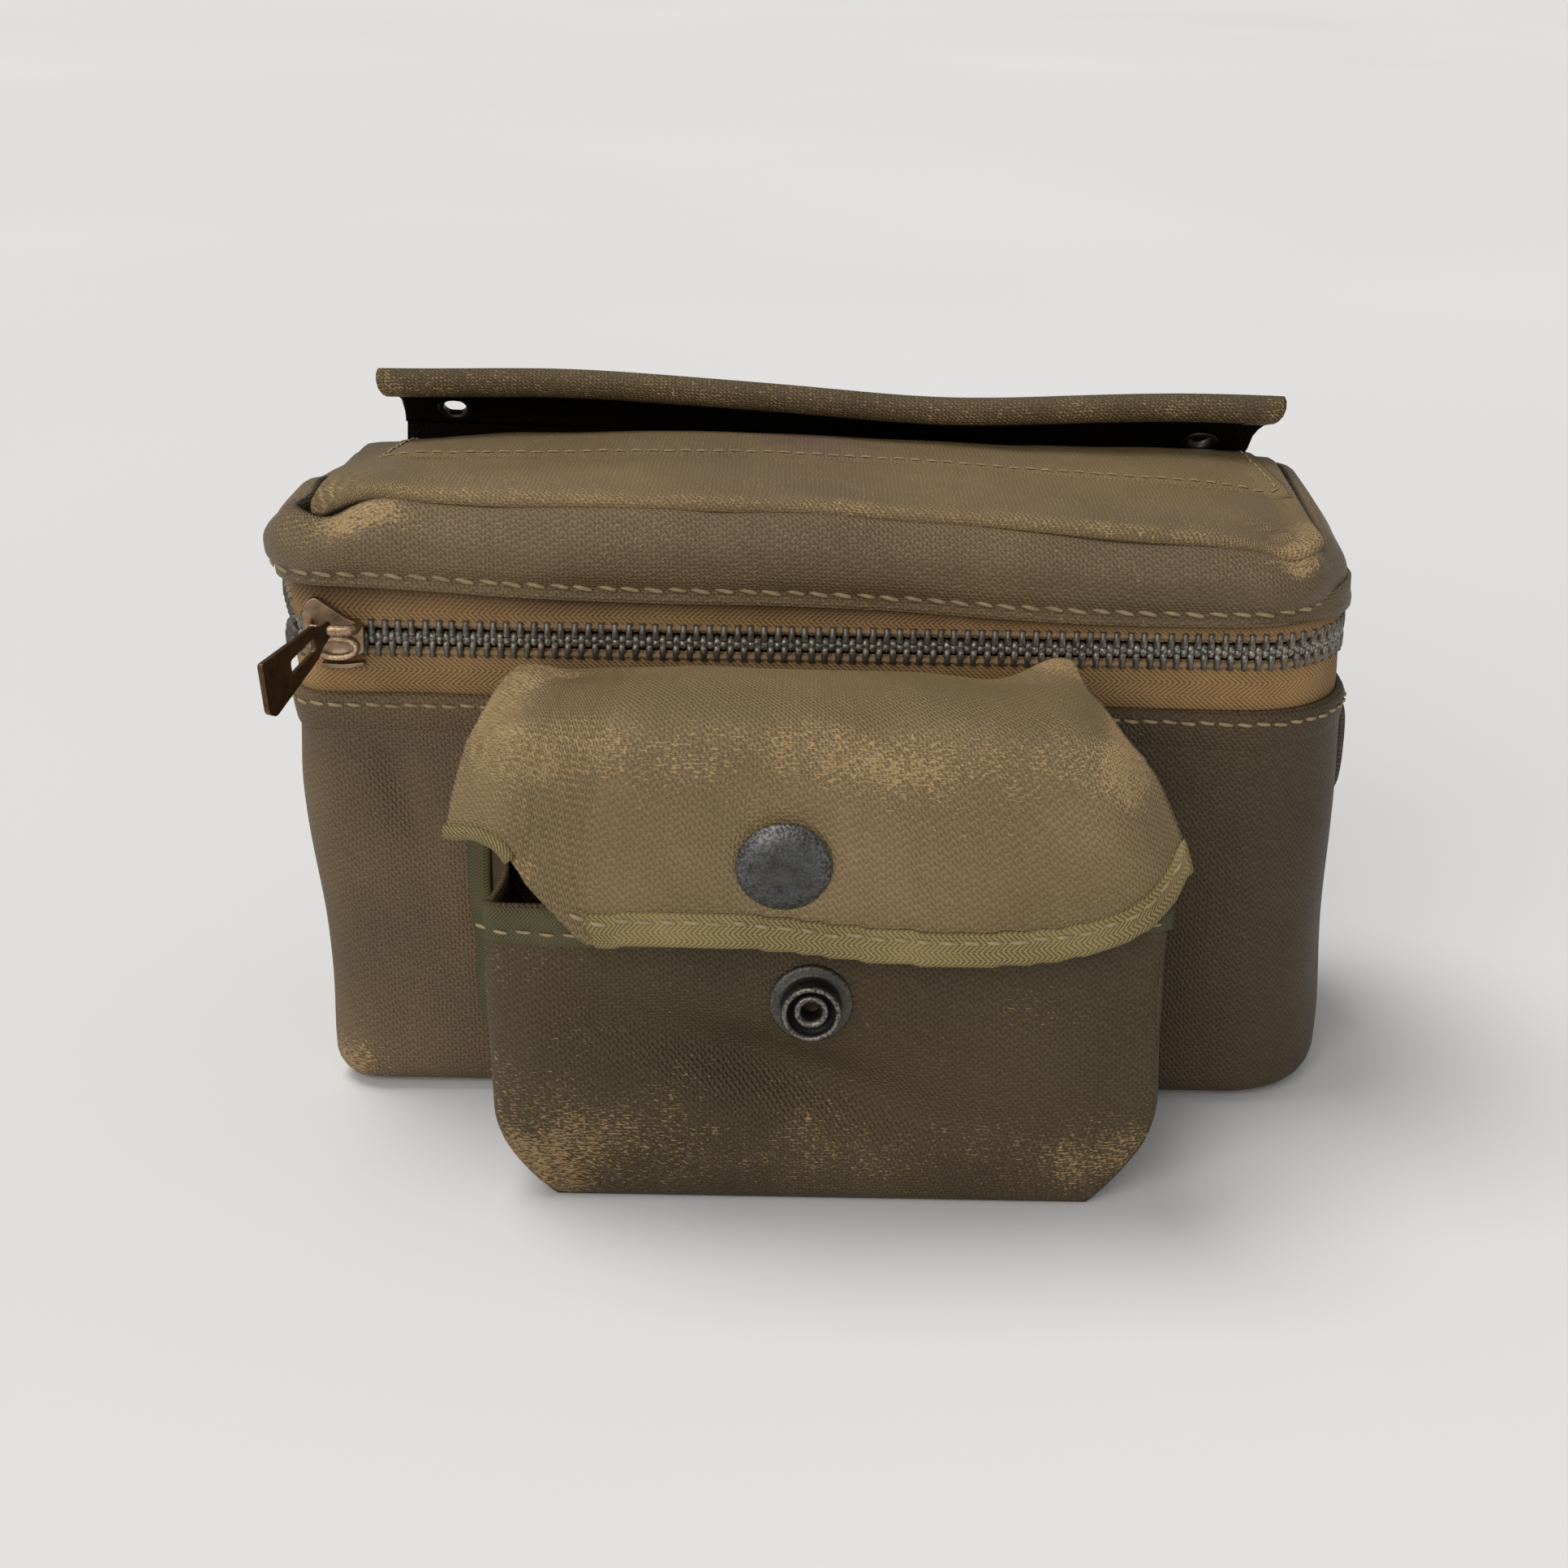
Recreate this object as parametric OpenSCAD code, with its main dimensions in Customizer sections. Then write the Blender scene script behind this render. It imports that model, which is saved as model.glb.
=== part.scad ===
// Canvas deposit bag: a zipped main compartment with a hinged lid, a snap-closed front
// pocket, a fold-up hanger with two eyelets and a webbing loop on the side.
// Millimetres. X runs left to right, Y front to back, Z up. The origin is the centre of the base.

/* [Body] */
// Width of the body, side to side
body_w = 181; // [174:1:188]
// Depth of the body, front to back
body_d = 67; // [64:1:72]
// Height of the body up to the top of its hem
body_h = 74.5; // [73:0.5:75.5]
// Thickness of the coated canvas
cloth_t = 1.2; // [1:0.1:1.4]

/* [Zip] */
// Height of the middle of the tooth chain
zip_z = 84.2; // [83.8:0.2:84.6]
// Distance between two teeth of one row
tooth_pitch = 2.27; // [2.25:0.05:2.6]
// Height of the whole closed chain
chain_w = 6.3; // [6:0.1:6.6]
// How far each row stands off the middle where the zip is open
open_gap = 3.4; // [2:0.2:3.6]

/* [Lid] */
// Height of the lid from rim to top
lid_h = 14.6; // [13:0.2:15]
// Height of the lid's rim at its middle
rim_z = 89.4; // [89:0.2:90]
// How far the lid droops to the right, in degrees
lid_tilt = 1; // [0.6:0.1:1.2]
// How far the lid slopes down to the rear, in degrees
lid_pitch = 1.6; // [1.2:0.1:2]

/* [Pocket] */
// Outer width of the pocket
pocket_w = 110; // [106:1:112]
// How far the pocket stands out from the body
pocket_d = 37; // [35:1:38]
// Height of the pocket's mouth
mouth_z = 52; // [50:1:53]

/* [Hanger] */
// Width of the hanger flap
hanger_w = 161; // [150:1:164]
// Distance between the two eyelets
eyelet_spacing = 136; // [120:2:140]
// Inner radius of an eyelet
eyelet_r = 2.2; // [2:0.1:2.4]

/* [Hidden] */

half_w = body_w / 2;
half_d = body_d / 2;
arc_fn = 64;
slack = 0.01;

// Corner radii of the plan outline
front_left_r = 6.5;
front_right_r = 20;
rear_r = 12;

hem_h = 6.5;
hem_t = 0.8;
tape_t = 0.7;
tape_in = cloth_t;
row_in = tape_in + tape_t / 2;
tape_foot_z = body_h - 7.5;
zip_end_y = 19;
tape_edge = 1.4;
tooth_w = 0.95;
tooth_t = 2;
head_w = 0.8;
head_t = 1.3;
head_h = 0.6;
tooth_reach = 1.1;

rim_out = 1.4;
rim_in = -0.2;
lid_shrink = 4;
facing_h = 4;
facing_gap = 0.05;

strip_half = half_w - rear_r;
hinge_gap = 0.8;

pocket_corner_r = 15;
pocket_y = -half_d - pocket_d;
binding_t = 0.6;
binding_h = 5.5;

flap_rear_y = -half_d - 8.5;
flap_x = -1.5;
flap_top_y = pocket_y - 1.5;
flap_front_y = pocket_y - 5.7;
flap_top_z = 84;
flap_low_z = 46.8;
flap_side_z = 63;
flap_top_half = 52;
flap_low_half = 60;
flap_lean = atan((flap_top_y - flap_front_y) / (flap_top_z - flap_low_z));
cap_x = -6.75;
cap_z = 62.4;
cap_r = 7.55;
stud_x = -2;
stud_z = 36.5;

hanger_y = half_d - 1.5;
hanger_z = 105.3;
hanger_t = 2.6;
hanger_lean = 50;
hanger_run = 14.6;
lip_r = 2.35;
eyelet_up = 5.6;
eyelet_flange_r = 3.75;
eyelet_flange_t = 0.5;

slider_x = -79.8;
slider_half = 5.2;
slider_wide = 5.2;
slider_slim = 4.4;
slider_lip = 0.55;
plate_t = 1.3;
row_y = -half_d + row_in;
plate_gap = 1.3;
bail_out = 3.8;
bail_bar = 1;
tab_axis_y = row_y - plate_gap - plate_t - bail_out + bail_bar / 2;
tab_len = 22.5;
tab_turn = 26;
tab_droop = 10;
tab_t = 1;

loop_y = 10;
loop_w = 20;
loop_z = [46, 66];
loop_out = 6.2;
webbing_t = 1.4;

// ---- plan outline ----

// Centre and radius of each rounded corner, in order round the outline
CORNERS = [
    [-half_w + front_left_r, -half_d + front_left_r, front_left_r, 180],
    [half_w - front_right_r, -half_d + front_right_r, front_right_r, 270],
    [half_w - rear_r, half_d - rear_r, rear_r, 0],
    [-half_w + rear_r, half_d - rear_r, rear_r, 90]
];

function on_circle(c, r, a) = [c[0] + r * cos(a), c[1] + r * sin(a)];

// The body's plan outline, grown outwards by grow
module outline(grow = 0) {
    polygon([for (c = CORNERS) for (a = [c[3], c[3] + 90]) on_circle(c, c[2] + grow, a)]);
    for (c = CORNERS)
        translate([c[0], c[1]]) circle(r = c[2] + grow, $fn = arc_fn);
}

// A wall that follows the outline between two heights and two offsets
module band(z0, z1, outer, inner) {
    translate([0, 0, z0]) linear_extrude(z1 - z0) difference() {
        outline(outer);
        outline(inner);
    }
}

module box(lo, hi) {
    translate(lo) cube(hi - lo);
}

// A YZ profile pushed along X between two values
module along_x(x0, x1) {
    translate([x0, 0, 0]) rotate([90, 0, 90]) linear_extrude(x1 - x0) children();
}

// ---- zip path ----

// The teeth run up the left side, along the front and back up the right side
side_l = zip_end_y + half_d - front_left_r;
arc_l = (front_left_r - row_in) * PI / 2;
front_l = body_w - front_left_r - front_right_r;
arc_r = (front_right_r - row_in) * PI / 2;
side_r = zip_end_y + half_d - front_right_r;
zip_len = side_l + arc_l + front_l + arc_r + side_r;
tooth_count = floor(zip_len / tooth_pitch);

// Place and heading of a point at run s along the teeth: [x, y, angle]
function path(s) =
    s < side_l ? [-half_w + row_in, zip_end_y - s, -90] :
    s < side_l + arc_l ? arc_point(CORNERS[0], 180 + 90 * (s - side_l) / arc_l) :
    s < side_l + arc_l + front_l ? [CORNERS[0][0] + s - side_l - arc_l, row_y, 0] :
    s < zip_len - side_r ? arc_point(CORNERS[1], 270 + 90 * (s - zip_len + side_r + arc_r) / arc_r) :
    [half_w - row_in, CORNERS[1][1] + s - zip_len + side_r, 90];
function arc_point(c, a) = concat(on_circle(c, c[2] - row_in, a), [a - 270]);

// How far each row stands off the middle at depth y on the open left side
gap_mid = (zip_end_y - half_d) / 2;
gap_half = (zip_end_y + half_d) / 2;
function gap(y) = open_gap * max(0, 1 - pow((y - gap_mid) / gap_half, 2));
function row_gap(p) = p[0] < slider_x - slider_half ? gap(p[1]) : 0;

// The open lens between the rows on the left side, between the tape edges
module open_lens() {
    steps = 24;
    ys = [for (i = [0 : steps]) zip_end_y - 2 * gap_half * i / steps];
    along_x(-half_w - 1, slider_x - slider_half) polygon(concat(
        [for (y = ys) [y, zip_z + tape_edge + gap(y)]],
        [for (i = [steps : -1 : 0]) [ys[i], zip_z - tape_edge - gap(ys[i])]]
    ));
}

// One tooth standing up from its tape, its middle line at z = 0
module tooth() {
    foot = -chain_w / 2;
    box([-tooth_w / 2, -tooth_t / 2, foot], [tooth_w / 2, tooth_t / 2, tooth_reach - head_h]);
    box([-head_w / 2, -head_t / 2, tooth_reach - head_h - slack], [head_w / 2, head_t / 2, tooth_reach]);
}

// A row of teeth: side 1 hangs from the lid, side -1 stands on the body
module tooth_row(side) {
    first = side > 0 ? 1 : 0.5;
    for (i = [0 : tooth_count - 1]) {
        p = path((i + first) * tooth_pitch);
        translate([p[0], p[1], zip_z + side * row_gap(p)])
            rotate([0, 0, p[2]]) scale([1, 1, -side]) tooth();
    }
}

// The zip does not run along the straight rear
module not_at_rear() {
    difference() {
        children();
        box([-strip_half, 0, 0], [strip_half, body_d, body_h * 2]);
    }
}

// ---- body ----

module wall_band() {
    color("#5b4d36") band(cloth_t, body_h, 0, -cloth_t);
}

module base_panel() {
    color("#4c412e") linear_extrude(cloth_t) outline();
}

module top_hem() {
    color("#6a5b3e") band(body_h - hem_h, body_h, hem_t, 0);
}

module lower_zip_tape() {
    color("#9a7448") not_at_rear() difference() {
        band(tape_foot_z, zip_z - tape_edge, -tape_in, -tape_in - tape_t);
        open_lens();
    }
}

module lower_zip_teeth() {
    color("#4a4b4d") tooth_row(-1);
}

module hinge_strip() {
    color("#5b4d36") box([-strip_half, half_d - tape_in - tape_t, tape_foot_z],
        [strip_half, half_d - tape_in, zip_z - hinge_gap]);
}

// ---- pocket ----

// Front view of the pocket below the mouth, shrunk by inset, in X and Z
module pocket_outline(inset = 0) {
    w = pocket_w / 2 - inset;
    r = pocket_corner_r - inset;
    polygon([[-w, mouth_z], [-w, inset + r], [-w + r, inset], [w - r, inset], [w, inset + r], [w, mouth_z]]);
    for (side = [-1, 1])
        translate([side * (w - r), inset + r]) circle(r = r, $fn = arc_fn);
}

// An XZ profile pushed along Y between two values
module along_y(y0, y1) {
    translate([0, y1, 0]) rotate([90, 0, 0]) linear_extrude(y1 - y0) children();
}

module pocket_front() {
    color("#5f5139") difference() {
        along_y(pocket_y, pocket_y + cloth_t) pocket_outline();
        on_pocket() cylinder(r = 2.9, h = 4 * cloth_t, center = true, $fn = arc_fn);
    }
}

module pocket_gusset() {
    color("#55482f") along_y(pocket_y + cloth_t, -half_d) difference() {
        pocket_outline();
        pocket_outline(cloth_t);
        translate([-pocket_w / 2 + cloth_t, mouth_z - 1]) square([pocket_w - 2 * cloth_t, 2]);
    }
}

module mouth_binding() {
    w = pocket_w / 2;
    color("#777249") difference() {
        box([-w, pocket_y - binding_t, mouth_z - binding_h],
            [w, pocket_y + cloth_t + binding_t, mouth_z + binding_t]);
        box([-w - 1, pocket_y, 0], [w + 1, pocket_y + cloth_t, mouth_z]);
        for (side = [-1, 1])
            translate([side * w, pocket_y + cloth_t + 5, mouth_z / 2])
                cube([2 * cloth_t, 10, mouth_z], center = true);
    }
}

module gusset_bindings() {
    color("#777249") for (side = [-1, 1])
        translate([side * (pocket_w / 2 + 1.6), -half_d - 1, (mouth_z + pocket_corner_r) / 2])
            cube([3.2, 2, mouth_z - pocket_corner_r], center = true);
}

// ---- pocket flap ----

// The strip that joins the flap to the body, leaning out over the zip
module flap_root() {
    y0 = -half_d - hem_t;
    root_half = flap_top_half - 1;
    color("#5f5139") along_x(flap_x - root_half, flap_x + root_half) polygon([
        [y0, body_h - hem_h], [y0, body_h], [flap_rear_y + 1.4, flap_top_z - 1.2],
        [flap_rear_y + 1.2, flap_top_z - 2.6], [y0 - cloth_t, body_h - 0.6], [y0 - cloth_t, body_h - hem_h]
    ]);
}

// The flap's outer form, grown by grow: a hood that widens towards its lower edge
module hood(grow = 0) {
    hull() {
        translate([flap_x, 0, flap_low_z - 1]) linear_extrude(1) hood_slice(flap_low_half + grow,
            flap_front_y - grow, flap_rear_y + grow, 7);
        translate([flap_x, 0, flap_top_z - 1 + grow]) linear_extrude(1) hood_slice(flap_top_half + grow,
            flap_top_y - grow, flap_rear_y + grow, 5);
    }
}

module hood_slice(half, y0, y1, r) {
    hull() for (side = [-1, 1]) {
        translate([side * (half - r), y0 + r]) circle(r = r, $fn = 32);
        translate([side * (half - 1), y1 - 1]) circle(r = 1, $fn = 16);
    }
}

// The flap's lower edge: lowest in the middle and rising to the sides
function flap_edge(x) = flap_low_z + (flap_side_z - flap_low_z) * pow(abs(x) / flap_low_half, 3);

// Everything above the lower edge raised by up
module above_edge(up = 0) {
    steps = 20;
    reach = flap_low_half + 3;
    translate([flap_x, 0, 0]) along_y(flap_front_y - 5, 0) polygon(concat(
        [for (i = [0 : steps]) let (x = reach * (2 * i / steps - 1)) [x, flap_edge(x) + up]],
        [[reach, flap_top_z + 9], [-reach, flap_top_z + 9]]
    ));
}

// The flap's open rear, below the band that is sewn to the root strip
module open_rear() {
    half = flap_top_half - 2;
    box([flap_x - half, flap_rear_y - 3, 0], [flap_x + half, flap_rear_y + 5, flap_top_z - 7]);
}

module pocket_flap() {
    color("#6b5d40") intersection() {
        difference() {
            hood();
            translate([0, 0, -cloth_t]) hood(-cloth_t);
            open_rear();
        }
        above_edge();
    }
}

module flap_binding() {
    color("#84784c") difference() {
        intersection() {
            difference() {
                hood(binding_t);
                hood();
            }
            above_edge(0.2);
        }
        above_edge(binding_h - 0.5);
        box([-half_w, flap_rear_y - 4, 0], [half_w, 0, body_h * 2]);
    }
}

// ---- snap ----

// Puts its children on the flap's leaning front, looking out along Z
module on_flap() {
    y = flap_top_y - (flap_top_y - flap_front_y) * (flap_top_z - cap_z) / (flap_top_z - flap_low_z);
    translate([cap_x, y, cap_z]) rotate([90 - flap_lean, 0, 0]) children();
}

module snap_cap() {
    color("#46484b") on_flap() translate([0, 0, 0.05]) rotate_extrude($fn = arc_fn) difference() {
        intersection() {
            translate([0, 2.4 - 16]) circle(r = 16, $fn = 256);
            translate([0, 0]) square([cap_r, 3]);
        }
        translate([cap_r - 0.5, -1]) square([1, 1.2]);
    }
}

module snap_socket() {
    color("#4f5154") on_flap() translate([0, 0, -cloth_t - 3]) difference() {
        cylinder(r = 5.6, h = 2.6, $fn = arc_fn);
        translate([0, 0, -1]) cylinder(r = 4.75, h = 2.8, $fn = arc_fn);
    }
}

// Puts its children on the pocket's front, looking out along Z
module on_pocket() {
    translate([stud_x, pocket_y, stud_z]) rotate([90, 0, 0]) children();
}

module snap_stud() {
    color("#3f4042") on_pocket() rotate_extrude($fn = arc_fn) difference() {
        union() {
            square([6.65, 0.7]);
            square([4.6, 4.6]);
            translate([4.3, 4.1]) circle(r = 0.6, $fn = 24);
        }
        translate([-1, -1]) square([3.9, 7]);
        translate([0, 3.4]) square([3.9, 3]);
    }
}

module stud_eyelet() {
    color("#55534e") on_pocket() rotate_extrude($fn = arc_fn) {
        translate([1.5, -cloth_t - 0.6]) square([1.35, cloth_t + 4.4]);
        translate([1.5, -cloth_t - 0.6]) square([3.6, 0.6]);
    }
}

// ---- side loop ----

module side_loop() {
    y0 = loop_y - loop_w / 2;
    y1 = loop_y + loop_w / 2;
    color("#6f6546") difference() {
        box([half_w, y0, loop_z[0]], [half_w + loop_out, y1, loop_z[1]]);
        box([half_w - 1, y0 - 1, loop_z[0] + webbing_t], [half_w + loop_out - webbing_t, y1 + 1, loop_z[1] - webbing_t]);
    }
}

// ---- lid ----

// The lid's own frame: the middle of its rim, drooping right and to the rear
module in_lid() {
    translate([0, 0, rim_z]) rotate([-lid_pitch, lid_tilt, 0]) children();
}

module lid_wall() {
    color("#5d5039") in_lid() difference() {
        hull() {
            linear_extrude(facing_h) outline(rim_out);
            translate([0, 0, lid_h - cloth_t]) linear_extrude(slack) outline(-lid_shrink);
        }
        translate([0, 0, -slack]) hull() {
            linear_extrude(facing_h) outline(rim_in);
            translate([0, 0, lid_h - cloth_t]) linear_extrude(1) outline(-lid_shrink - cloth_t);
        }
    }
}

module lid_top() {
    color("#665739") in_lid() translate([0, 0, lid_h - cloth_t + 2 * slack])
        linear_extrude(cloth_t) outline(-lid_shrink + 1);
}

module lid_facing() {
    color("#6a5b3e") in_lid() band(0, facing_h - 0.2, rim_in - facing_gap, -tape_in + 0.2);
}

// Everything below a plane a little above the lid's rim
module below_rim(up) {
    intersection() {
        children();
        in_lid() box([-body_w, -body_d, -20], [body_w, body_d, up]);
    }
}

module upper_zip_tape() {
    color("#9a7448") below_rim(facing_h - 0.4) not_at_rear() difference() {
        band(zip_z + tape_edge, rim_z + 9, -tape_in, -tape_in - tape_t);
        open_lens();
    }
}

module upper_zip_teeth() {
    color("#4a4b4d") tooth_row(1);
}

module lid_skirt() {
    color("#5b4d36") below_rim(facing_h - 0.4)
        box([-strip_half, half_d - tape_in - tape_t, zip_z + hinge_gap],
            [strip_half, half_d - tape_in, rim_z + 9]);
}

// ---- hanger ----

// The hanger's own frame: the middle of its fold line, with Z up along the leaning flap
module in_hanger() {
    translate([0, hanger_y, hanger_z]) rotate([0, lid_tilt, 0]) rotate([hanger_lean, 0, 0]) children();
}

module hanger_base() {
    color("#6b5d40") in_lid() translate([0, 0, lid_h + 3 * slack])
        box([-hanger_w / 2, 8, 0], [hanger_w / 2, half_d - lid_shrink + 1, 1]);
}

// Side view of the hanger: a round root, the flap and its rolled lip, in Y and Z
module hanger_profile() {
    circle(r = hanger_t / 2, $fn = 32);
    translate([-hanger_t / 2, 0]) square([hanger_t, hanger_run]);
    translate([0, hanger_run]) circle(r = lip_r, $fn = 32);
}

module eyelet_places(sides = [-1, 1]) {
    for (side = sides)
        in_hanger() translate([side * eyelet_spacing / 2, 0, eyelet_up]) rotate([90, 0, 0]) children();
}

module hanger_flap() {
    color("#5f5139") difference() {
        in_hanger() along_x(-hanger_w / 2, hanger_w / 2) hanger_profile();
        eyelet_places() cylinder(r = eyelet_r + 0.6, h = 3 * hanger_t, center = true, $fn = arc_fn);
    }
}

module eyelet(side) {
    full = hanger_t + 2 * eyelet_flange_t;
    color("#3d3b36") eyelet_places([side]) difference() {
        union() {
            cylinder(r = eyelet_r + 0.6, h = full, center = true, $fn = arc_fn);
            for (end = [-1, 1])
                translate([0, 0, end * (hanger_t + eyelet_flange_t) / 2])
                    cylinder(r = eyelet_flange_r, h = eyelet_flange_t, center = true, $fn = arc_fn);
        }
        cylinder(r = eyelet_r, h = 2 * full, center = true, $fn = arc_fn);
    }
}

module eyelet_left() {
    eyelet(-1);
}

module eyelet_right() {
    eyelet(1);
}

// ---- slider and pull tab ----

// Front view of a slider plate, wider where the rows part, in X and Z
module plate_outline() {
    polygon([
        [-slider_half, -slider_wide], [-slider_half, slider_wide], [-2, slider_wide],
        [slider_half, slider_slim], [slider_half, -slider_slim], [-2, -slider_wide]
    ]);
}

// A slider plate, one on each side of the teeth
module slider_plate(face) {
    translate([slider_x, row_y + face * plate_gap, zip_z]) mirror([0, face > 0 ? 0 : 1, 0]) {
        translate([0, plate_t, 0]) rotate([90, 0, 0]) linear_extrude(plate_t) plate_outline();
        box([-slider_half, -slider_lip, -slider_wide], [-2, slack, -4]);
        box([-2 - slack, -slider_lip, -slider_slim], [slider_half, slack, -3.8]);
    }
}

module slider_front() {
    color("#6e5436") slider_plate(-1);
}

module slider_back() {
    color("#6e5436") slider_plate(1);
}

// The arch over the front plate that the tab hangs from
module slider_bail() {
    inside = bail_out - bail_bar;
    color("#7a5f3e") translate([slider_x, row_y - plate_gap - plate_t, zip_z - 1]) linear_extrude(2) polygon([
        [-4.2, 0], [-4.2, bail_bar - bail_out], [-3.2, -bail_out],
        [3.2, -bail_out], [4.2, bail_bar - bail_out], [4.2, 0],
        [3.4, 0], [3.4, -inside], [-3.4, -inside], [-3.4, 0]
    ]);
}

// The tab: a plate standing on edge that widens to a cut-off tip, with an eye and a slot
module pull_tab() {
    root = 2.5;
    eye = 1.7;
    color("#5a422a") translate([slider_x, tab_axis_y, zip_z]) rotate([0, tab_droop, -90 - tab_turn])
        rotate([90, 0, 0]) translate([0, 0, -tab_t / 2]) linear_extrude(tab_t) difference() {
            polygon([[-root, -2.6], [-root, 2.6], [tab_len, 5.2], [tab_len, -3.4], [tab_len - 2, -5.2]]);
            square(2 * eye, center = true);
            translate([5, -1.2]) square([8.5, 2.4]);
        }
}

wall_band();
base_panel();
top_hem();
lower_zip_tape();
lower_zip_teeth();
hinge_strip();
pocket_front();
pocket_gusset();
mouth_binding();
gusset_bindings();
flap_root();
snap_stud();
stud_eyelet();
side_loop();
lid_wall();
lid_top();
lid_facing();
upper_zip_tape();
upper_zip_teeth();
lid_skirt();
hanger_base();
hanger_flap();
eyelet_left();
eyelet_right();
pocket_flap();
flap_binding();
snap_cap();
snap_socket();
slider_front();
slider_back();
slider_bail();
pull_tab();
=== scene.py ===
"""The looks of the canvas deposit bag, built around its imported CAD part.

Sizes are in millimetres until a mesh is made. Every sheet of cloth is a grid of points, rows by columns.
"""

import math

import bpy
import numpy as np
from mathutils import Euler, Matrix, Vector, noise


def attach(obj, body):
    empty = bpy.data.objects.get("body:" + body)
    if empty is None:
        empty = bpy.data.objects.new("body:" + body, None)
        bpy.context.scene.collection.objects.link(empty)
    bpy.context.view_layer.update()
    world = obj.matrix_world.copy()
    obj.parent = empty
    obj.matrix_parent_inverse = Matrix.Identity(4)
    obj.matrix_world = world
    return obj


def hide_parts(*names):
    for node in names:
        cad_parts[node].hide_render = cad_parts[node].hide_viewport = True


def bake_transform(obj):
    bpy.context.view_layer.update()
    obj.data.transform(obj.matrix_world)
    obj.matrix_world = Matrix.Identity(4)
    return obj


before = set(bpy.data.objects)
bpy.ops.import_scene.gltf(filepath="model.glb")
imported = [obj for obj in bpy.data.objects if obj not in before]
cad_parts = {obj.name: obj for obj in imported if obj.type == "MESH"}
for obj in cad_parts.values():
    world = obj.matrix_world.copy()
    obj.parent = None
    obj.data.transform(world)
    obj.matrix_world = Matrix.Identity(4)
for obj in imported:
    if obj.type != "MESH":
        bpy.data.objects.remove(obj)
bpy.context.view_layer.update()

MM = 0.001
TAU = 2 * math.pi

# Plan outline of the body: half its width and depth, then each corner's centre, radius and first angle
HALF_W = 90.5
HALF_D = 33.5
CORNERS = [(-84.0, -27.0, 6.5, 180), (70.5, -13.5, 20.0, 270), (78.5, 21.5, 12.0, 0), (-78.5, 21.5, 12.0, 90)]
BODY_H = 74.5
CLOTH = 1.1
# Share of the face's wear and painted shade that the back of a cloth shows
UNDER_WEAR = 0.6

# Zip: height and pitch of its teeth, how far inside the outline they run, and where they stop at the rear
ZIP_Z = 84.2
PITCH = 2.27
ROW_IN = 1.55
ROW_Y = -HALF_D + ROW_IN
ZIP_END_Y = 19.0
# Each row stands this far off the middle where the left side is open, and that side bows out this far
OPEN_GAP = 3.4
OPEN_BOW = 4.2
SLIDER_X = -79.8
SLIDER_HALF = 5.2
# Height where the lower tape is sewn in, and how far both tapes stop short of the middle of the teeth
TAPE_SEAM_Z = 69.0
TAPE_SHORT = 1.6
# Half width of the cloth hinge at the rear, between the ends of the tapes
STRIP_HALF = 78.4


# ---- small maths ----


def smooth(x, low, high):
    """0 below low, 1 above high and an even turn between them."""
    t = np.clip((np.asarray(x, float) - low) / (high - low), 0, 1)
    return t * t * (3 - 2 * t)


def knots(x, *pairs):
    """A curve through (place, value) pairs, eased between them."""
    xs = np.array([p[0] for p in pairs], float)
    ys = np.array([p[1] for p in pairs], float)
    x = np.clip(np.asarray(x, float), xs[0], xs[-1])
    i = np.clip(np.searchsorted(xs, x) - 1, 0, len(xs) - 2)
    t = (x - xs[i]) / (xs[i + 1] - xs[i])
    slope = np.gradient(ys, xs)
    h = xs[i + 1] - xs[i]
    a = ys[i] * (1 + 2 * t) * (1 - t) ** 2 + slope[i] * h * t * (1 - t) ** 2
    b = ys[i + 1] * t * t * (3 - 2 * t) + slope[i + 1] * h * t * t * (t - 1)
    return a + b


def bump(x, centre, width):
    """A soft hill of height 1."""
    return np.exp(-(((np.asarray(x, float) - centre) / width) ** 2))


def ripple(points, size, seed=0.0):
    """Smooth noise from -1 to 1 at each point, with hills about size mm across."""
    flat = points.reshape(-1, 3) / size + seed
    values = [noise.noise(Vector(p)) for p in flat]
    return np.array(values).reshape(points.shape[:-1]) * 1.6


def points_of(x, y, z):
    """Points in rows of three. Each of x, y and z is one number for all the points or one for each."""
    return np.column_stack(np.broadcast_arrays(x, y, z))


# ---- mesh makers ----


def link(obj, material):
    bpy.context.scene.collection.objects.link(obj)
    obj.data.materials.append(material)
    return obj


def mesh_object(name, verts, faces, material, uvs=None, wear=None):
    """A mesh in metres from points in mm, with a Cloth UV map in mm and a wear value at each point; values
    below zero are painted shade.
    """
    mesh = bpy.data.meshes.new(name)
    mesh.from_pydata((np.asarray(verts, float) * MM).tolist(), [], faces)
    mesh.update()
    layer = mesh.uv_layers.new(name="Cloth")
    if uvs is not None:
        layer.data.foreach_set("uv", np.asarray(uvs, np.float32).ravel())
    mark = mesh.attributes.new("wear", "FLOAT", "POINT")
    if wear is not None:
        mark.data.foreach_set("value", np.asarray(wear, np.float32).ravel())
    mesh.polygons.foreach_set("use_smooth", [True] * len(mesh.polygons))
    return link(bpy.data.objects.new(name, mesh), material)


def grid_normals(p, wrap):
    across = np.roll(p, -1, 1) - np.roll(p, 1, 1) if wrap else np.gradient(p, axis=1)
    along = np.gradient(p, axis=0)
    n = np.cross(across, along)
    return n / np.maximum(np.linalg.norm(n, axis=2, keepdims=True), 1e-9)


def grid_uv(p, wrap):
    """Mean run along the columns and along the rows, in mm."""
    whole = np.concatenate([p, p[:, :1]], 1) if wrap else p
    u = np.linalg.norm(np.diff(whole, axis=1), axis=2).max(0)
    v = np.linalg.norm(np.diff(p, axis=0), axis=2).mean(1)
    return np.concatenate([[0], np.cumsum(u)]), np.concatenate([[0], np.cumsum(v)])


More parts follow.
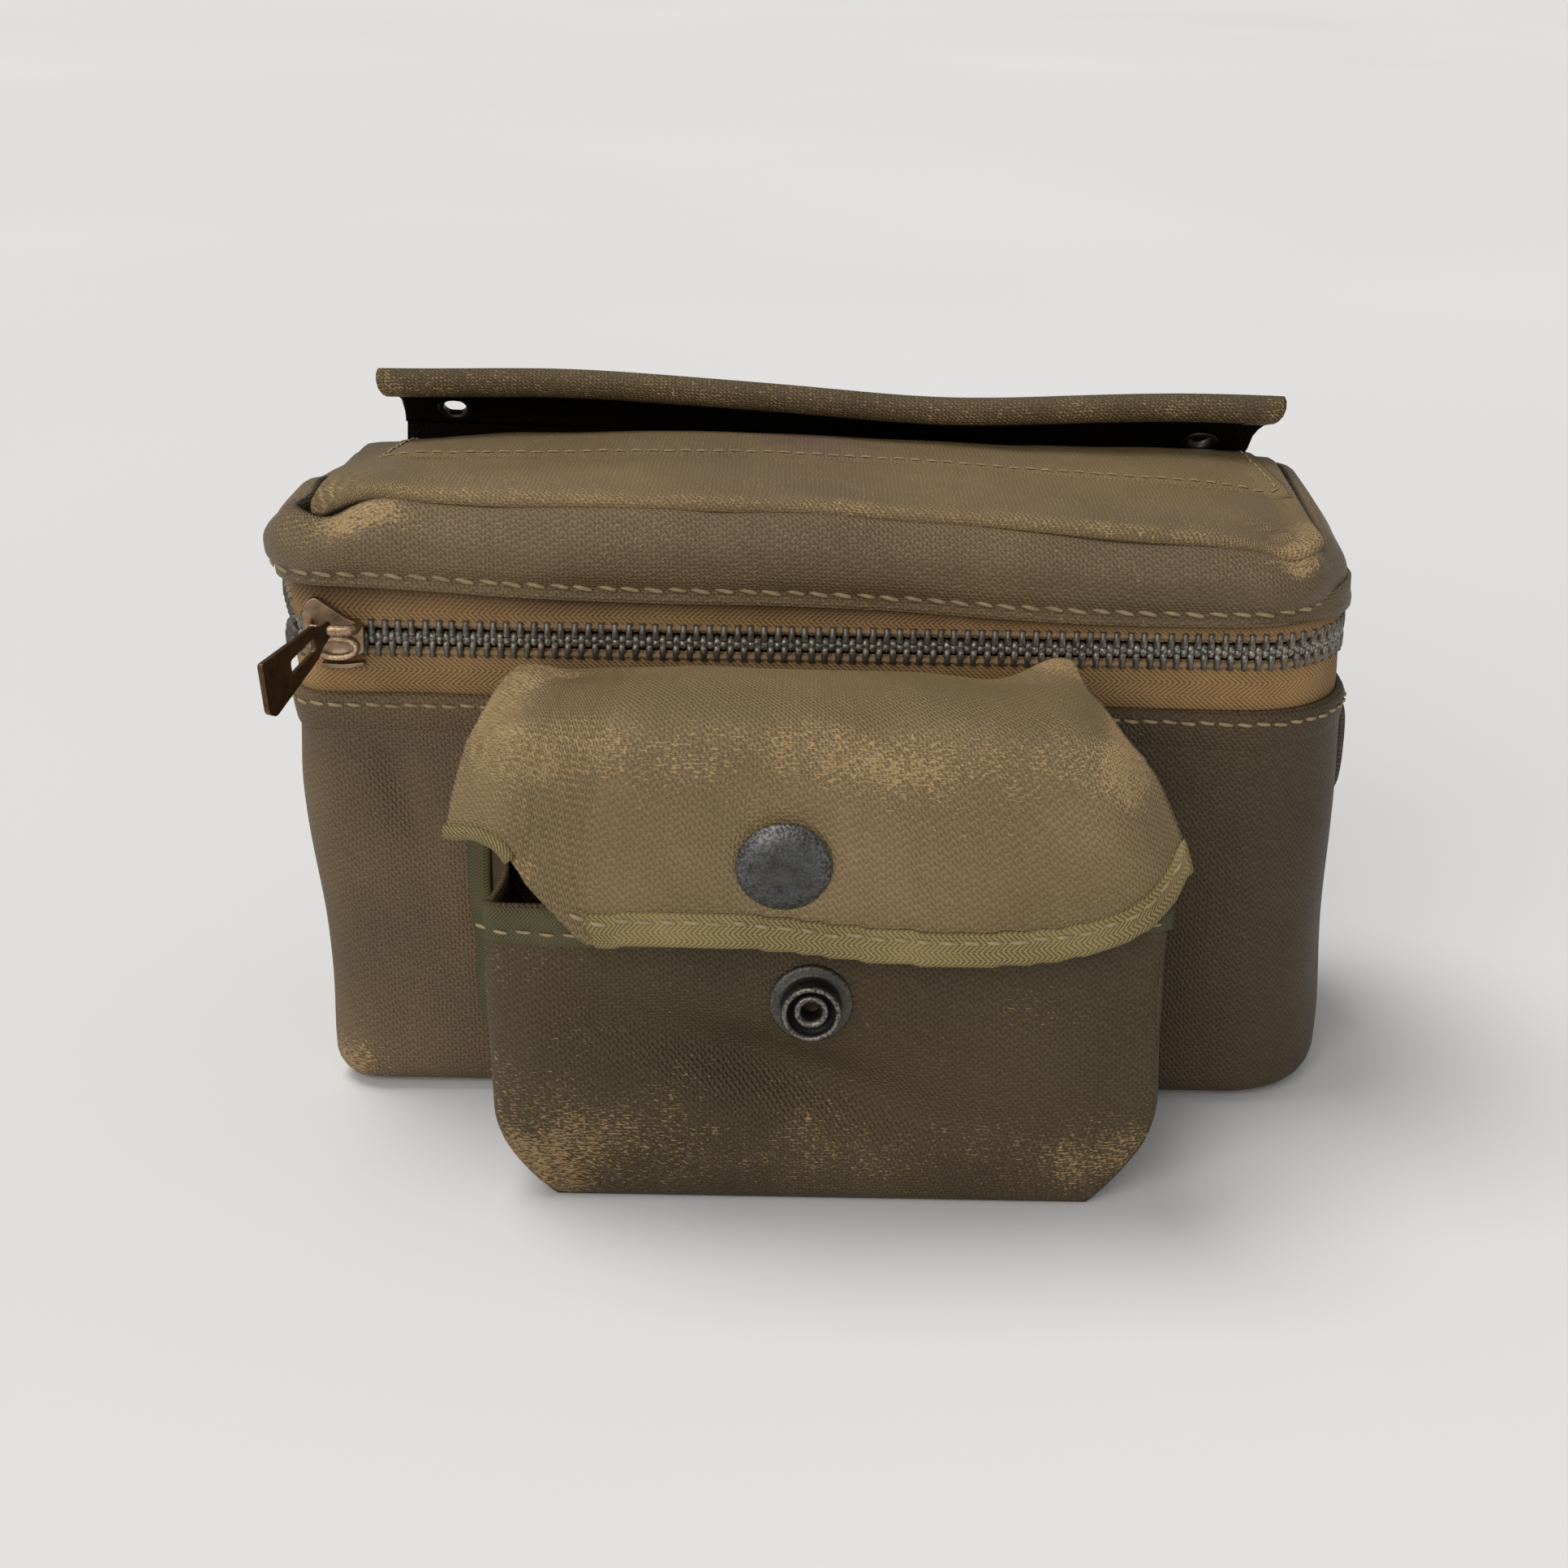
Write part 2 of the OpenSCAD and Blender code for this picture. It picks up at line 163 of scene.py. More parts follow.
def cloth(name, p, material, thick=CLOTH, wrap=False, close_start=False, wear=0.0):
    """A sheet of cloth: a grid of points in mm with its thickness behind the face.

    wrap joins the last column to the first, and close_start fills in the ring that is the first row.
    """
    rows, cols = p.shape[:2]
    inner = p - grid_normals(p, wrap) * thick
    verts = np.concatenate([p.reshape(-1, 3), inner.reshape(-1, 3)])
    u, v = grid_uv(p, wrap)
    under = rows * cols
    faces, uvs = [], []

    def quad(corners, places):
        faces.append(corners)
        uvs.extend(places)

    steps = cols if wrap else cols - 1
    for i in range(rows - 1):
        for j in range(steps):
            k = (j + 1) % cols
            a, b, c, d = i * cols + j, i * cols + k, (i + 1) * cols + k, (i + 1) * cols + j
            places = [(u[j], v[i]), (u[j + 1], v[i]), (u[j + 1], v[i + 1]), (u[j], v[i + 1])]
            quad((a, b, c, d), places)
            quad((d + under, c + under, b + under, a + under), places[::-1])
    for j in range(steps):
        k = (j + 1) % cols
        if not close_start:
            quad((j + under, k + under, k, j), [(u[j], 0), (u[j + 1], 0), (u[j + 1], 0), (u[j], 0)])
        a, b = under - cols + j, under - cols + k
        top = v[-1]
        quad((a, b, b + under, a + under), [(u[j], top), (u[j + 1], top), (u[j + 1], top), (u[j], top)])
    if not wrap:
        for i in range(rows - 1):
            a, d = i * cols, (i + 1) * cols
            b, c = a + cols - 1, d + cols - 1
            near, far = v[i], v[i + 1]
            quad((a + under, a, d, d + under), [(u[0], near), (u[0], near), (u[0], far), (u[0], far)])
            quad((b, b + under, c + under, c), [(u[-1], near), (u[-1], near), (u[-1], far), (u[-1], far)])
    if close_start:
        loop = list(range(cols))
        places = [tuple(p[0, j, :2]) for j in loop]
        quad(tuple(loop[::-1]), places[::-1])
        quad(tuple(j + under for j in loop), places)
    # Marks run from -1, painted shade, through 0 to 1, full wear
    marks = np.clip(np.broadcast_to(wear, (rows, cols)), -1, 1).ravel()
    return mesh_object(name, verts, faces, material, uvs, np.concatenate([marks, marks * UNDER_WEAR]))


def frames_along(path, up):
    """Direction, side and up at each point of a path, from a rough up at each point."""
    t = np.gradient(path, axis=0)
    t /= np.maximum(np.linalg.norm(t, axis=1, keepdims=True), 1e-9)
    side = np.cross(t, up)
    side /= np.maximum(np.linalg.norm(side, axis=1, keepdims=True), 1e-9)
    return t, side, np.cross(side, t)


def tube(name, path, up, radii, material, sides=10, wide=1.0, looped=False, wear=None):
    """A rod along a path, radii thick across up and wide times that to the side."""
    path = np.asarray(path, float)
    up = np.broadcast_to(np.asarray(up, float), path.shape)
    radii = np.broadcast_to(np.asarray(radii, float), len(path))
    _, side, rise = frames_along(path, up)
    angles = np.arange(sides) * TAU / sides
    cos, sin = np.cos(angles)[None, :, None], np.sin(angles)[None, :, None]
    section = side[:, None] * cos * wide + rise[:, None] * sin
    verts = (path[:, None] + section * radii[:, None, None]).reshape(-1, 3)
    faces = []
    n = len(path)
    for i in range(n if looped else n - 1):
        for j in range(sides):
            k, m = (j + 1) % sides, (i + 1) % n
            faces.append((i * sides + j, m * sides + j, m * sides + k, i * sides + k))
    if not looped:
        faces.append(tuple(range(sides)))
        faces.append(tuple(range((n - 1) * sides, n * sides))[::-1])
    marks = None if wear is None else np.repeat(wear, sides)
    return mesh_object(name, verts, faces, material, wear=marks)


def resample(path, step, *others):
    """Points at even steps along a path, followed by any other values of its points at the same places."""
    path = np.asarray(path, float)
    runs = np.concatenate([[0], np.cumsum(np.linalg.norm(np.diff(path, axis=0), axis=1))])
    count = max(2, int(round(runs[-1] / step)))
    at = np.linspace(0, runs[-1], count + 1)
    out = [np.stack([np.interp(at, runs, values[:, k]) for k in range(3)], 1) for values in (path, *others)]
    return out if others else out[0]


def stitches(name, path, up, material, stitch=2.5, gap=0.7, width=0.28, slant=0.25, lift=0.02):
    """A line of sewn threads along a path: short plump rods that lean a little and dip at their ends."""
    ups = np.broadcast_to(np.asarray(up, float), np.shape(path))
    points, ups = resample(path, stitch + gap, ups)
    t, side, rise = frames_along(points, ups)
    # Place along the stitch, share of its width and height of each of its rings
    shape = [(-0.5, 0.35, -0.5), (-0.42, 0.8, 0.1), (-0.15, 1.0, 0.9), (0.15, 1.0, 0.9), (0.42, 0.8, 0.1),
             (0.5, 0.35, -0.5)]
    sides = 6
    verts, faces = [], []
    for i in range(len(points) - 1):
        wobble = 0.12 * math.sin(i * 2.4)
        start = len(verts)
        for along, fat, high in shape:
            middle = points[i] + t[i] * along * stitch + side[i] * (slant * along + wobble)
            middle = middle + rise[i] * (lift + width * 0.5 * high)
            for j in range(sides):
                a = TAU * j / sides
                section = side[i] * math.cos(a) * 1.2 + rise[i] * math.sin(a) * 0.7
                verts.append(middle + section * width * fat)
        for s in range(len(shape) - 1):
            for j in range(sides):
                k = (j + 1) % sides
                a, b = start + s * sides, start + (s + 1) * sides
                faces.append((a + j, b + j, b + k, a + k))
        faces.append(tuple(range(start, start + sides)))
        faces.append(tuple(range(len(verts) - sides, len(verts)))[::-1])
    return mesh_object(name, verts, faces, material)


def stack(sections):
    """Points and faces of a solid made of eight-sided slices: (height, half width, half depth)."""
    verts, faces = [], []
    for z, hx, hy in sections:
        cx, cy = hx * 0.62, hy * 0.62
        for x, y in ((hx, cy), (cx, hy), (-cx, hy), (-hx, cy), (-hx, -cy), (-cx, -hy), (cx, -hy), (hx, -cy)):
            verts.append((x, y, z))
    for i in range(len(sections) - 1):
        for j in range(8):
            k = (j + 1) % 8
            faces.append((i * 8 + j, i * 8 + k, i * 8 + 8 + k, i * 8 + 8 + j))
    faces.append(tuple(range(8))[::-1])
    faces.append(tuple(range(len(verts) - 8, len(verts))))
    return np.array(verts), faces


def lathe(name, profile, material, place, sides=64, wear=None):
    """A turned piece from (radius, height) pairs, put in place by a matrix."""
    verts, faces = [], []
    rows = []
    for r, z in profile:
        if r < 1e-6:
            rows.append([len(verts)])
            verts.append((0, 0, z))
        else:
            rows.append(list(range(len(verts), len(verts) + sides)))
            turns = [TAU * j / sides for j in range(sides)]
            verts.extend((r * math.cos(a), r * math.sin(a), z) for a in turns)
    for a, b in zip(rows, rows[1:]):
        for j in range(sides):
            k = (j + 1) % sides
            if len(a) == 1:
                faces.append((a[0], b[j], b[k])[::-1])
            elif len(b) == 1:
                faces.append((a[j], a[k], b[0]))
            else:
                faces.append((a[j], a[k], b[k], b[j]))
    if len(rows[0]) > 1 and len(rows[-1]) > 1:
        for j in range(sides):
            k = (j + 1) % sides
            faces.append((rows[-1][j], rows[-1][k], rows[0][k], rows[0][j]))
    turned = [tuple(place @ Vector(v)) for v in verts]
    marks = None
    if wear is not None:
        marks = [wear[i] for i, row in enumerate(rows) for _ in row]
    return mesh_object(name, turned, faces, material, wear=marks)


def plate(name, outline, thick, material, place, holes=(), bevel=0.25):
    """A flat plate cut to an outline in X and Y, with holes, its edges rounded, put in place by a matrix."""
    curve = bpy.data.curves.new(name, "CURVE")
    curve.dimensions = "2D"
    curve.fill_mode = "BOTH"
    curve.extrude = max(thick / 2 - bevel, 0.02) * MM
    curve.bevel_depth = bevel * MM
    curve.bevel_resolution = 3
    curve.offset = -bevel * MM
    for loop in [outline, *holes]:
        spline = curve.splines.new("POLY")
        spline.points.add(len(loop) - 1)
        for point, (x, y) in zip(spline.points, loop):
            point.co = (x * MM, y * MM, 0, 1)
        spline.use_cyclic_u = True
    rough = bpy.data.objects.new(name + "_curve", curve)
    bpy.context.scene.collection.objects.link(rough)
    bpy.context.view_layer.update()
    mesh = bpy.data.meshes.new_from_object(rough.evaluated_get(bpy.context.evaluated_depsgraph_get()))
    bpy.data.objects.remove(rough)
    mesh.name = name
    where = place.copy()
    where.translation = place.translation * MM
    mesh.transform(where)
    mesh.materials.clear()
    obj = link(bpy.data.objects.new(name, mesh), material)
    weld = obj.modifiers.new("weld", "WELD")
    weld.merge_threshold = 0.00001
    return obj


def frozen(obj):
    """Applies what modifiers a piece has, so that its mesh is final."""
    bpy.context.view_layer.update()
    mesh = bpy.data.meshes.new_from_object(obj.evaluated_get(bpy.context.evaluated_depsgraph_get()))
    obj.modifiers.clear()
    obj.data = mesh
    return obj


def rounded(points, radius, steps=6):
    """The polygon's corners turned into arcs."""
    out = []
    n = len(points)
    for i in range(n):
        p = Vector(points[i])
        a, b = Vector(points[i - 1]) - p, Vector(points[(i + 1) % n]) - p
        r = min(radius, a.length * 0.45, b.length * 0.45)
        start, end = p + a.normalized() * r, p + b.normalized() * r
        for k in range(steps + 1):
            t = k / steps
            out.append(tuple(start * (1 - t) ** 2 + p * 2 * t * (1 - t) + end * t * t))
    return out


# ---- plan outline and zip path ----


def plan(step=1.6):
    """Points round the body's outline from the middle of the rear, with the outward direction at each."""
    places, ways = [], []

    def line(a, b, way):
        count = max(1, int(round(math.dist(a, b) / step)))
        for k in range(count):
            t = k / count
            places.append((a[0] + (b[0] - a[0]) * t, a[1] + (b[1] - a[1]) * t))
            ways.append(way)

    def arc(corner):
        x, y, r, first = corner
        count = max(8, int(round(r * math.pi / 2 / (step * 0.6))))
        for k in range(count):
            a = math.radians(first + 90 * k / count)
            places.append((x + r * math.cos(a), y + r * math.sin(a)))
            ways.append((math.cos(a), math.sin(a)))

    front_left, front_right, rear_right, rear_left = CORNERS
    line((0, HALF_D), (rear_left[0], HALF_D), (0, 1))
    arc(rear_left)
    line((-HALF_W, rear_left[1]), (-HALF_W, front_left[1]), (-1, 0))
    arc(front_left)
    line((front_left[0], -HALF_D), (front_right[0], -HALF_D), (0, -1))
    arc(front_right)
    line((HALF_W, front_right[1]), (HALF_W, rear_right[1]), (1, 0))
    arc(rear_right)
    line((rear_right[0], HALF_D), (0, HALF_D), (0, 1))
    return np.array(places), np.array(ways)


PLAN, OUT = plan()


def ring(grow, z, shift=(0, 0)):
    """The outline at a height, grown outwards. grow and z may differ from point to point."""
    grow = np.broadcast_to(np.asarray(grow, float), len(PLAN))
    xy = PLAN + OUT * grow[:, None] + np.array(shift)
    return np.column_stack([xy, np.broadcast_to(np.asarray(z, float), len(PLAN))])


def closed(line):
    """A line round the outline brought back to its first point."""
    return np.concatenate([line, line[:1]])


def outward(rise):
    """The outward direction at each point of the outline, tipped up by rise."""
    return np.column_stack([OUT, np.full(len(OUT), rise)])


# The front corners, and the zip's run along each side, round each corner and along the front
FL, FR = CORNERS[0], CORNERS[1]
SIDE_L = ZIP_END_Y - FL[1]
ARC_L = (FL[2] - ROW_IN) * math.pi / 2
FRONT_L = FR[0] - FL[0]
ARC_R = (FR[2] - ROW_IN) * math.pi / 2
SIDE_R = ZIP_END_Y - FR[1]
ZIP_LEN = SIDE_L + ARC_L + FRONT_L + ARC_R + SIDE_R
TEETH = int(ZIP_LEN / PITCH)


def zip_point(s, inset=ROW_IN):
    """Place and heading, in degrees, at run s along the rows of teeth, at a distance inside the outline."""
    if s < SIDE_L:
        y = ZIP_END_Y - s
        return -HALF_W + inset - float(side_bow(-HALF_W, y)), y, -90.0
    if s < SIDE_L + ARC_L:
        a = math.radians(180 + 90 * (s - SIDE_L) / ARC_L)
        r = FL[2] - inset
        return FL[0] + r * math.cos(a), FL[1] + r * math.sin(a), math.degrees(a) - 270
    if s < SIDE_L + ARC_L + FRONT_L:
        return FL[0] + s - SIDE_L - ARC_L, -HALF_D + inset, 0.0
    if s < ZIP_LEN - SIDE_R:
        a = math.radians(270 + 90 * (s - SIDE_L - ARC_L - FRONT_L) / ARC_R)
        r = FR[2] - inset
        return FR[0] + r * math.cos(a), FR[1] + r * math.sin(a), math.degrees(a) - 270
    return HALF_W - inset, FR[1] + s - ZIP_LEN + SIDE_R, 90.0


def open_gap(x, y):
    """How far each row stands off the middle on the open left side."""
    middle, half = (ZIP_END_Y - HALF_D) / 2, (ZIP_END_Y + HALF_D) / 2
    lens = OPEN_GAP * np.maximum(0, 1 - ((np.asarray(y, float) - middle) / half) ** 2)
    return np.where(np.asarray(x, float) < SLIDER_X - SLIDER_HALF, lens, 0)


def side_bow(x, y):
    """How far the open left side of the zip bows outwards."""
    return np.where(np.asarray(x, float) < SLIDER_X - SLIDER_HALF, OPEN_BOW * bump(y, -15, 11), 0)


# ---- materials ----


class Nodes:
    """Short words for building a material's nodes."""

    def __init__(self, name):
        self.material = bpy.data.materials.new(name)
        self.material.use_nodes = True
        self.tree = self.material.node_tree
        self.tree.nodes.clear()
        self.shader = self.tree.nodes.new("ShaderNodeBsdfPrincipled")
        out = self.tree.nodes.new("ShaderNodeOutputMaterial")
        self.tree.links.new(self.shader.outputs[0], out.inputs[0])

    def put(self, socket, value):
        if isinstance(value, bpy.types.NodeSocket):
            self.tree.links.new(value, socket)
        elif isinstance(value, tuple) and len(value) == 3 and socket.type == "RGBA":
            socket.default_value = (*value, 1)
        else:
            socket.default_value = value

    def math(self, how, a, b=0.0, c=0.0, clamp=False):
        node = self.tree.nodes.new("ShaderNodeMath")
        node.operation = how
        node.use_clamp = clamp
        for socket, value in zip(node.inputs, (a, b, c)):
            self.put(socket, value)
        return node.outputs[0]

    def times(self, a, b, clamp=False):
        return self.math("MULTIPLY", a, b, clamp=clamp)

    def plus(self, a, b):
        return self.math("ADD", a, b)

    def mix(self, share, a, b):
        """Colour a turned into colour b by a share."""
        node = self.tree.nodes.new("ShaderNodeMix")
        node.data_type = "RGBA"
        self.put(node.inputs[0], share)
        self.put(node.inputs[6], a)
        self.put(node.inputs[7], b)
        return node.outputs[2]

    def uv(self):
        node = self.tree.nodes.new("ShaderNodeUVMap")
        node.uv_map = "Cloth"
        return node.outputs[0]

    def parts(self, vector):
        node = self.tree.nodes.new("ShaderNodeSeparateXYZ")
        self.put(node.inputs[0], vector)
        return node.outputs[0], node.outputs[1]

    def stretch(self, vector, scale):
        node = self.tree.nodes.new("ShaderNodeMapping")
        self.put(node.inputs["Vector"], vector)
        node.inputs["Scale"].default_value = scale
        return node.outputs[0]

    def noise(self, vector, scale, detail=2.0, rough=0.5):
        node = self.tree.nodes.new("ShaderNodeTexNoise")
        self.put(node.inputs["Vector"], vector)
        node.inputs["Scale"].default_value = scale
        node.inputs["Detail"].default_value = detail
        node.inputs["Roughness"].default_value = rough
        return node.outputs[0]

    def place(self):
        return self.tree.nodes.new("ShaderNodeTexCoord").outputs["Object"]

    def mark(self, name):
        node = self.tree.nodes.new("ShaderNodeAttribute")
        node.attribute_name = name
        return node.outputs["Fac"]

    def wave(self, run, period):
        """From 0 to 1 and back every period."""
        turned = self.math("SINE", self.times(run, TAU / period))
        return self.math("MULTIPLY_ADD", turned, 0.5, 0.5)

    def ramp(self, value, low, high):
        """0 at low and 1 at high."""
        node = self.tree.nodes.new("ShaderNodeMapRange")
        node.clamp = True
        self.put(node.inputs[0], value)
        node.inputs[1].default_value = low
        node.inputs[2].default_value = high
        return node.outputs[0]

    def relief(self, height, distance):
        """Raises the surface by up to a distance in mm."""
        node = self.tree.nodes.new("ShaderNodeBump")
        node.inputs["Strength"].default_value = 1.0
        node.inputs["Distance"].default_value = distance * MM
        self.put(node.inputs["Height"], height)
        self.tree.links.new(node.outputs[0], self.shader.inputs["Normal"])

    def finish(self, colour, rough, metal=0.0, specular=0.5):
        self.put(self.shader.inputs["Base Color"], colour)
        self.put(self.shader.inputs["Roughness"], rough)
        self.shader.inputs["Metallic"].default_value = metal
        self.shader.inputs["Specular IOR Level"].default_value = specular
        return self.material


def tinted(colour, share):
    return tuple(c * share for c in colour)


def canvas(name, base, worn=(0.43, 0.29, 0.14), red=0.25, twill=0.8, rough=0.54, shade=0.0, stain=None,
           grain=0.1, gloss=0.28):
    """Coated twill canvas: woven relief, uneven dye, and bare tan threads where it is worn.
    Where the wear mark is below zero it is darkened as painted shade.

    red is how ruddy the dye's clouds are, twill the slope of the weave, shade how far painted shade darkens
    it to the right, grain how much the weave breaks up the wear, and stain the x, y and radius of a blot.
    """
    n = Nodes(name)
    uv, place = n.uv(), n.place()
    u, v = n.parts(uv)
    loose = n.times(n.noise(uv, 0.35, 2.0), 1.1)
    threads = n.times(n.wave(n.plus(u, loose), 0.72), n.wave(n.plus(v, loose), 0.62))
    diagonal = n.wave(n.plus(n.plus(u, loose), n.times(v, twill)), 0.98)
    weave = n.plus(n.times(threads, 0.55), n.times(diagonal, 0.45))
    clouds = n.noise(place, 26.0, 3.0, 0.55)
    patches = n.noise(place, 95.0, 4.0, 0.6)
    fine = n.noise(n.stretch(uv, (0.8, 3.3, 1.0)), 1.0, 1.5, 0.6)
    colour = n.mix(n.ramp(clouds, 0.3, 0.7), tinted(base, 0.72), tinted(base, 1.22))
    ruddy = (base[0] * 1.12, base[1] * 0.82, base[2] * 0.78)
    blush = n.times(n.ramp(n.noise(place, 34.0, 2.0), 0.5, 0.72), red)
    colour = n.mix(blush, colour, ruddy)
    grime = n.times(n.ramp(patches, 0.35, 0.7), 0.22)
    colour = n.mix(grime, colour, tinted(base, 0.6))
    colour = n.mix(n.times(n.ramp(weave, 0.5, 0.1), 0.42), colour, tinted(base, 0.4))
    wear = n.mark("wear")
    tired = n.times(n.times(wear, n.ramp(patches, 0.35, 0.65)), 0.16, clamp=True)
    colour = n.mix(tired, colour, tuple(a * 0.55 + b * 0.45 for a, b in zip(base, worn)))
    score = n.plus(fine, n.times(n.math("SUBTRACT", patches, 0.5), 0.42))
    score = n.plus(score, n.times(wear, n.math("MULTIPLY_ADD", wear, 0.17, 0.13)))
    score = n.plus(score, n.times(n.math("SUBTRACT", weave, 0.3), grain))
    shown = n.times(n.ramp(score, 0.715, 0.775), 0.8)
    colour = n.mix(shown, colour, worn)
    # Painted shade: where the wear mark is below zero the colour goes nearly black
    colour = n.mix(n.times(wear, -0.9, clamp=True), colour, tinted(base, 0.12))
    if stain:
        x, y = n.parts(place)
        off = [n.math("POWER", n.math("SUBTRACT", a, b * MM), 2.0) for a, b in ((x, stain[0]), (y, stain[1]))]
        near = n.ramp(n.math("SQRT", n.plus(*off)), stain[2] * MM, 0.0)
        blot = n.times(n.times(near, n.ramp(patches, 0.3, 0.6)), 0.7)
        colour = n.mix(blot, colour, (0.110, 0.040, 0.080))
    # Painted shade: the colour darkens towards the right of the piece
    if shade:
        across, _ = n.parts(place)
        colour = n.mix(n.times(n.ramp(across, -0.06, 0.06), shade), colour, (0.0, 0.0, 0.0))
    n.relief(n.plus(weave, n.times(shown, 0.35)), 0.30)
    return n.finish(colour, n.math("MULTIPLY_ADD", shown, 0.25, rough), 0.0, gloss)


def herringbone(name, light, dark, column, pitch, slope=1.0):
    """Woven tape whose slanting ribs, a pitch apart, turn back at each column."""
    n = Nodes(name)
    uv, place = n.uv(), n.place()
    u, v = n.parts(uv)
    fold = n.math("PINGPONG", v, column)
    ribs = n.wave(n.plus(u, n.times(fold, slope)), pitch)
    across = n.wave(v, pitch * 0.55)
    weave = n.plus(n.times(ribs, 0.75), n.times(across, 0.25))
    fade = n.noise(place, 60.0, 3.0, 0.6)
    colour = n.mix(n.ramp(weave, 0.15, 0.75), dark, light)
    worn = tuple(min(1.0, c * 1.35) for c in light)
    colour = n.mix(n.times(n.ramp(fade, 0.45, 0.7), 0.35), colour, worn)
    colour = n.mix(n.times(n.mark("wear"), 0.6, clamp=True), colour, worn)
    # Painted shade: where the wear mark is below zero the tape goes dark, as under the lid's rim
    colour = n.mix(n.times(n.mark("wear"), -0.85, clamp=True), colour, tinted(dark, 0.3))
    n.relief(weave, 0.16)
    return n.finish(colour, 0.8, 0.0, 0.25)


def thread(name, base):
    n = Nodes(name)
    place = n.place()
    colour = n.mix(n.ramp(n.noise(place, 900.0, 2.0), 0.35, 0.65), tinted(base, 0.72), base)
    n.relief(n.noise(place, 2400.0, 1.0), 0.08)
    return n.finish(colour, 0.75, 0.0, 0.3)


def metal(name, base, spot, bare, rough, metallic=0.9):
    """Old metal: patchy tone, spots, and brighter wear where it is marked."""
    n = Nodes(name)
    place = n.place()
    patches = n.noise(place, 320.0, 4.0, 0.65)
    grains = n.noise(place, 2240.0, 2.0, 0.6)
    colour = n.mix(n.ramp(patches, 0.4, 0.68), base, spot)
    shine = n.times(n.mark("wear"), n.ramp(grains, 0.4, 0.62))
    colour = n.mix(shine, colour, bare)
    n.relief(n.plus(grains, patches), 0.03)
    return n.finish(colour, n.math("MULTIPLY_ADD", patches, 0.25, rough - 0.1), metallic, 0.5)


# These canvases are one cloth. Their base colours were set part by part to how bright each part looks, so
# they hold painted light and shade: lighter on the flap, darker on the body and darkest on the pocket. The
# top's stain, the ruddy clouds and the worn threads are the cloth's own.
CANVAS = canvas("canvas", (0.205, 0.142, 0.068))
CANVAS_TOP = canvas("canvas_top", (0.222, 0.154, 0.073), twill=1.0, stain=(-2.0, 12.0, 13.0), grain=0.34)
CANVAS_HANGER = canvas("canvas_hanger", (0.120, 0.082, 0.040), twill=1.2, red=0.1, grain=0.34)
CANVAS_FLAP_LIT = canvas("canvas_flap_painted_light", (0.240, 0.172, 0.082))
CANVAS_LID = canvas("canvas_lid", (0.176, 0.122, 0.062), red=0.12, rough=0.46, gloss=0.34)
# Darkened towards the right as painted shade
CANVAS_BODY_SHADED = canvas("canvas_body_painted_shade", (0.160, 0.109, 0.057), red=0.45, shade=0.45)
CANVAS_POCKET_SHADED = canvas("canvas_pocket_painted_shade", (0.080, 0.055, 0.026), red=0.35, worn=(0.34, 0.225, 0.105))
# Near-black cloth that stands in for the shadow under the hanger: painted shadow
PAINTED_SHADOW_CLOTH = canvas("painted_shadow_cloth", (0.007, 0.0055, 0.004), worn=(0.025, 0.019, 0.012), red=0.0, gloss=0.02, rough=0.9)
BINDING = herringbone("binding", (0.290, 0.225, 0.098), (0.085, 0.064, 0.026), column=1.45, pitch=0.86)
BINDING_MOUTH = herringbone("binding_mouth", (0.115, 0.098, 0.046), (0.046, 0.040, 0.019), column=1.45,
                            pitch=0.62)
TAPE = herringbone("zip_tape", (0.34, 0.205, 0.088), (0.140, 0.080, 0.033), column=2.4, pitch=0.95, slope=1.2)
CORD = thread("zip_cord", (0.27, 0.18, 0.09))
THREAD = thread("sewing_thread", (0.34, 0.255, 0.140))
WEBBING = herringbone("webbing", (0.110, 0.088, 0.062), (0.045, 0.036, 0.026), column=2.5, pitch=0.8)
GUNMETAL = metal("zip_teeth", (0.135, 0.120, 0.102), (0.070, 0.058, 0.045), (0.36, 0.325, 0.275), 0.42, 0.7)
CAP_METAL = metal("snap_cap", (0.064, 0.066, 0.066), (0.036, 0.031, 0.026), (0.30, 0.30, 0.29), 0.46, 0.75)
STUD_METAL = metal("snap_stud", (0.070, 0.066, 0.060), (0.040, 0.034, 0.028), (0.32, 0.29, 0.25), 0.42)
SLIDER_METAL = metal("slider", (0.34, 0.235, 0.150), (0.180, 0.115, 0.070), (0.72, 0.52, 0.32), 0.36)
TAB_METAL = metal("tab", (0.130, 0.070, 0.036), (0.065, 0.034, 0.019), (0.50, 0.34, 0.18), 0.36)


# ---- body ----


def body_sag(z):
    """How far the filled bag's wall stands out near its foot, all the way round."""
    x, y = PLAN[:, 0], PLAN[:, 1]
    front = smooth(-y, 20, 32)
    right_corner = bump(x, 84, 9) * smooth(-y, 8, 26)
    swell = 0.5 * front + 0.6 * right_corner - 2.6 * smooth(-x, 80, 90)
    return swell * bump(z, 6, 34)


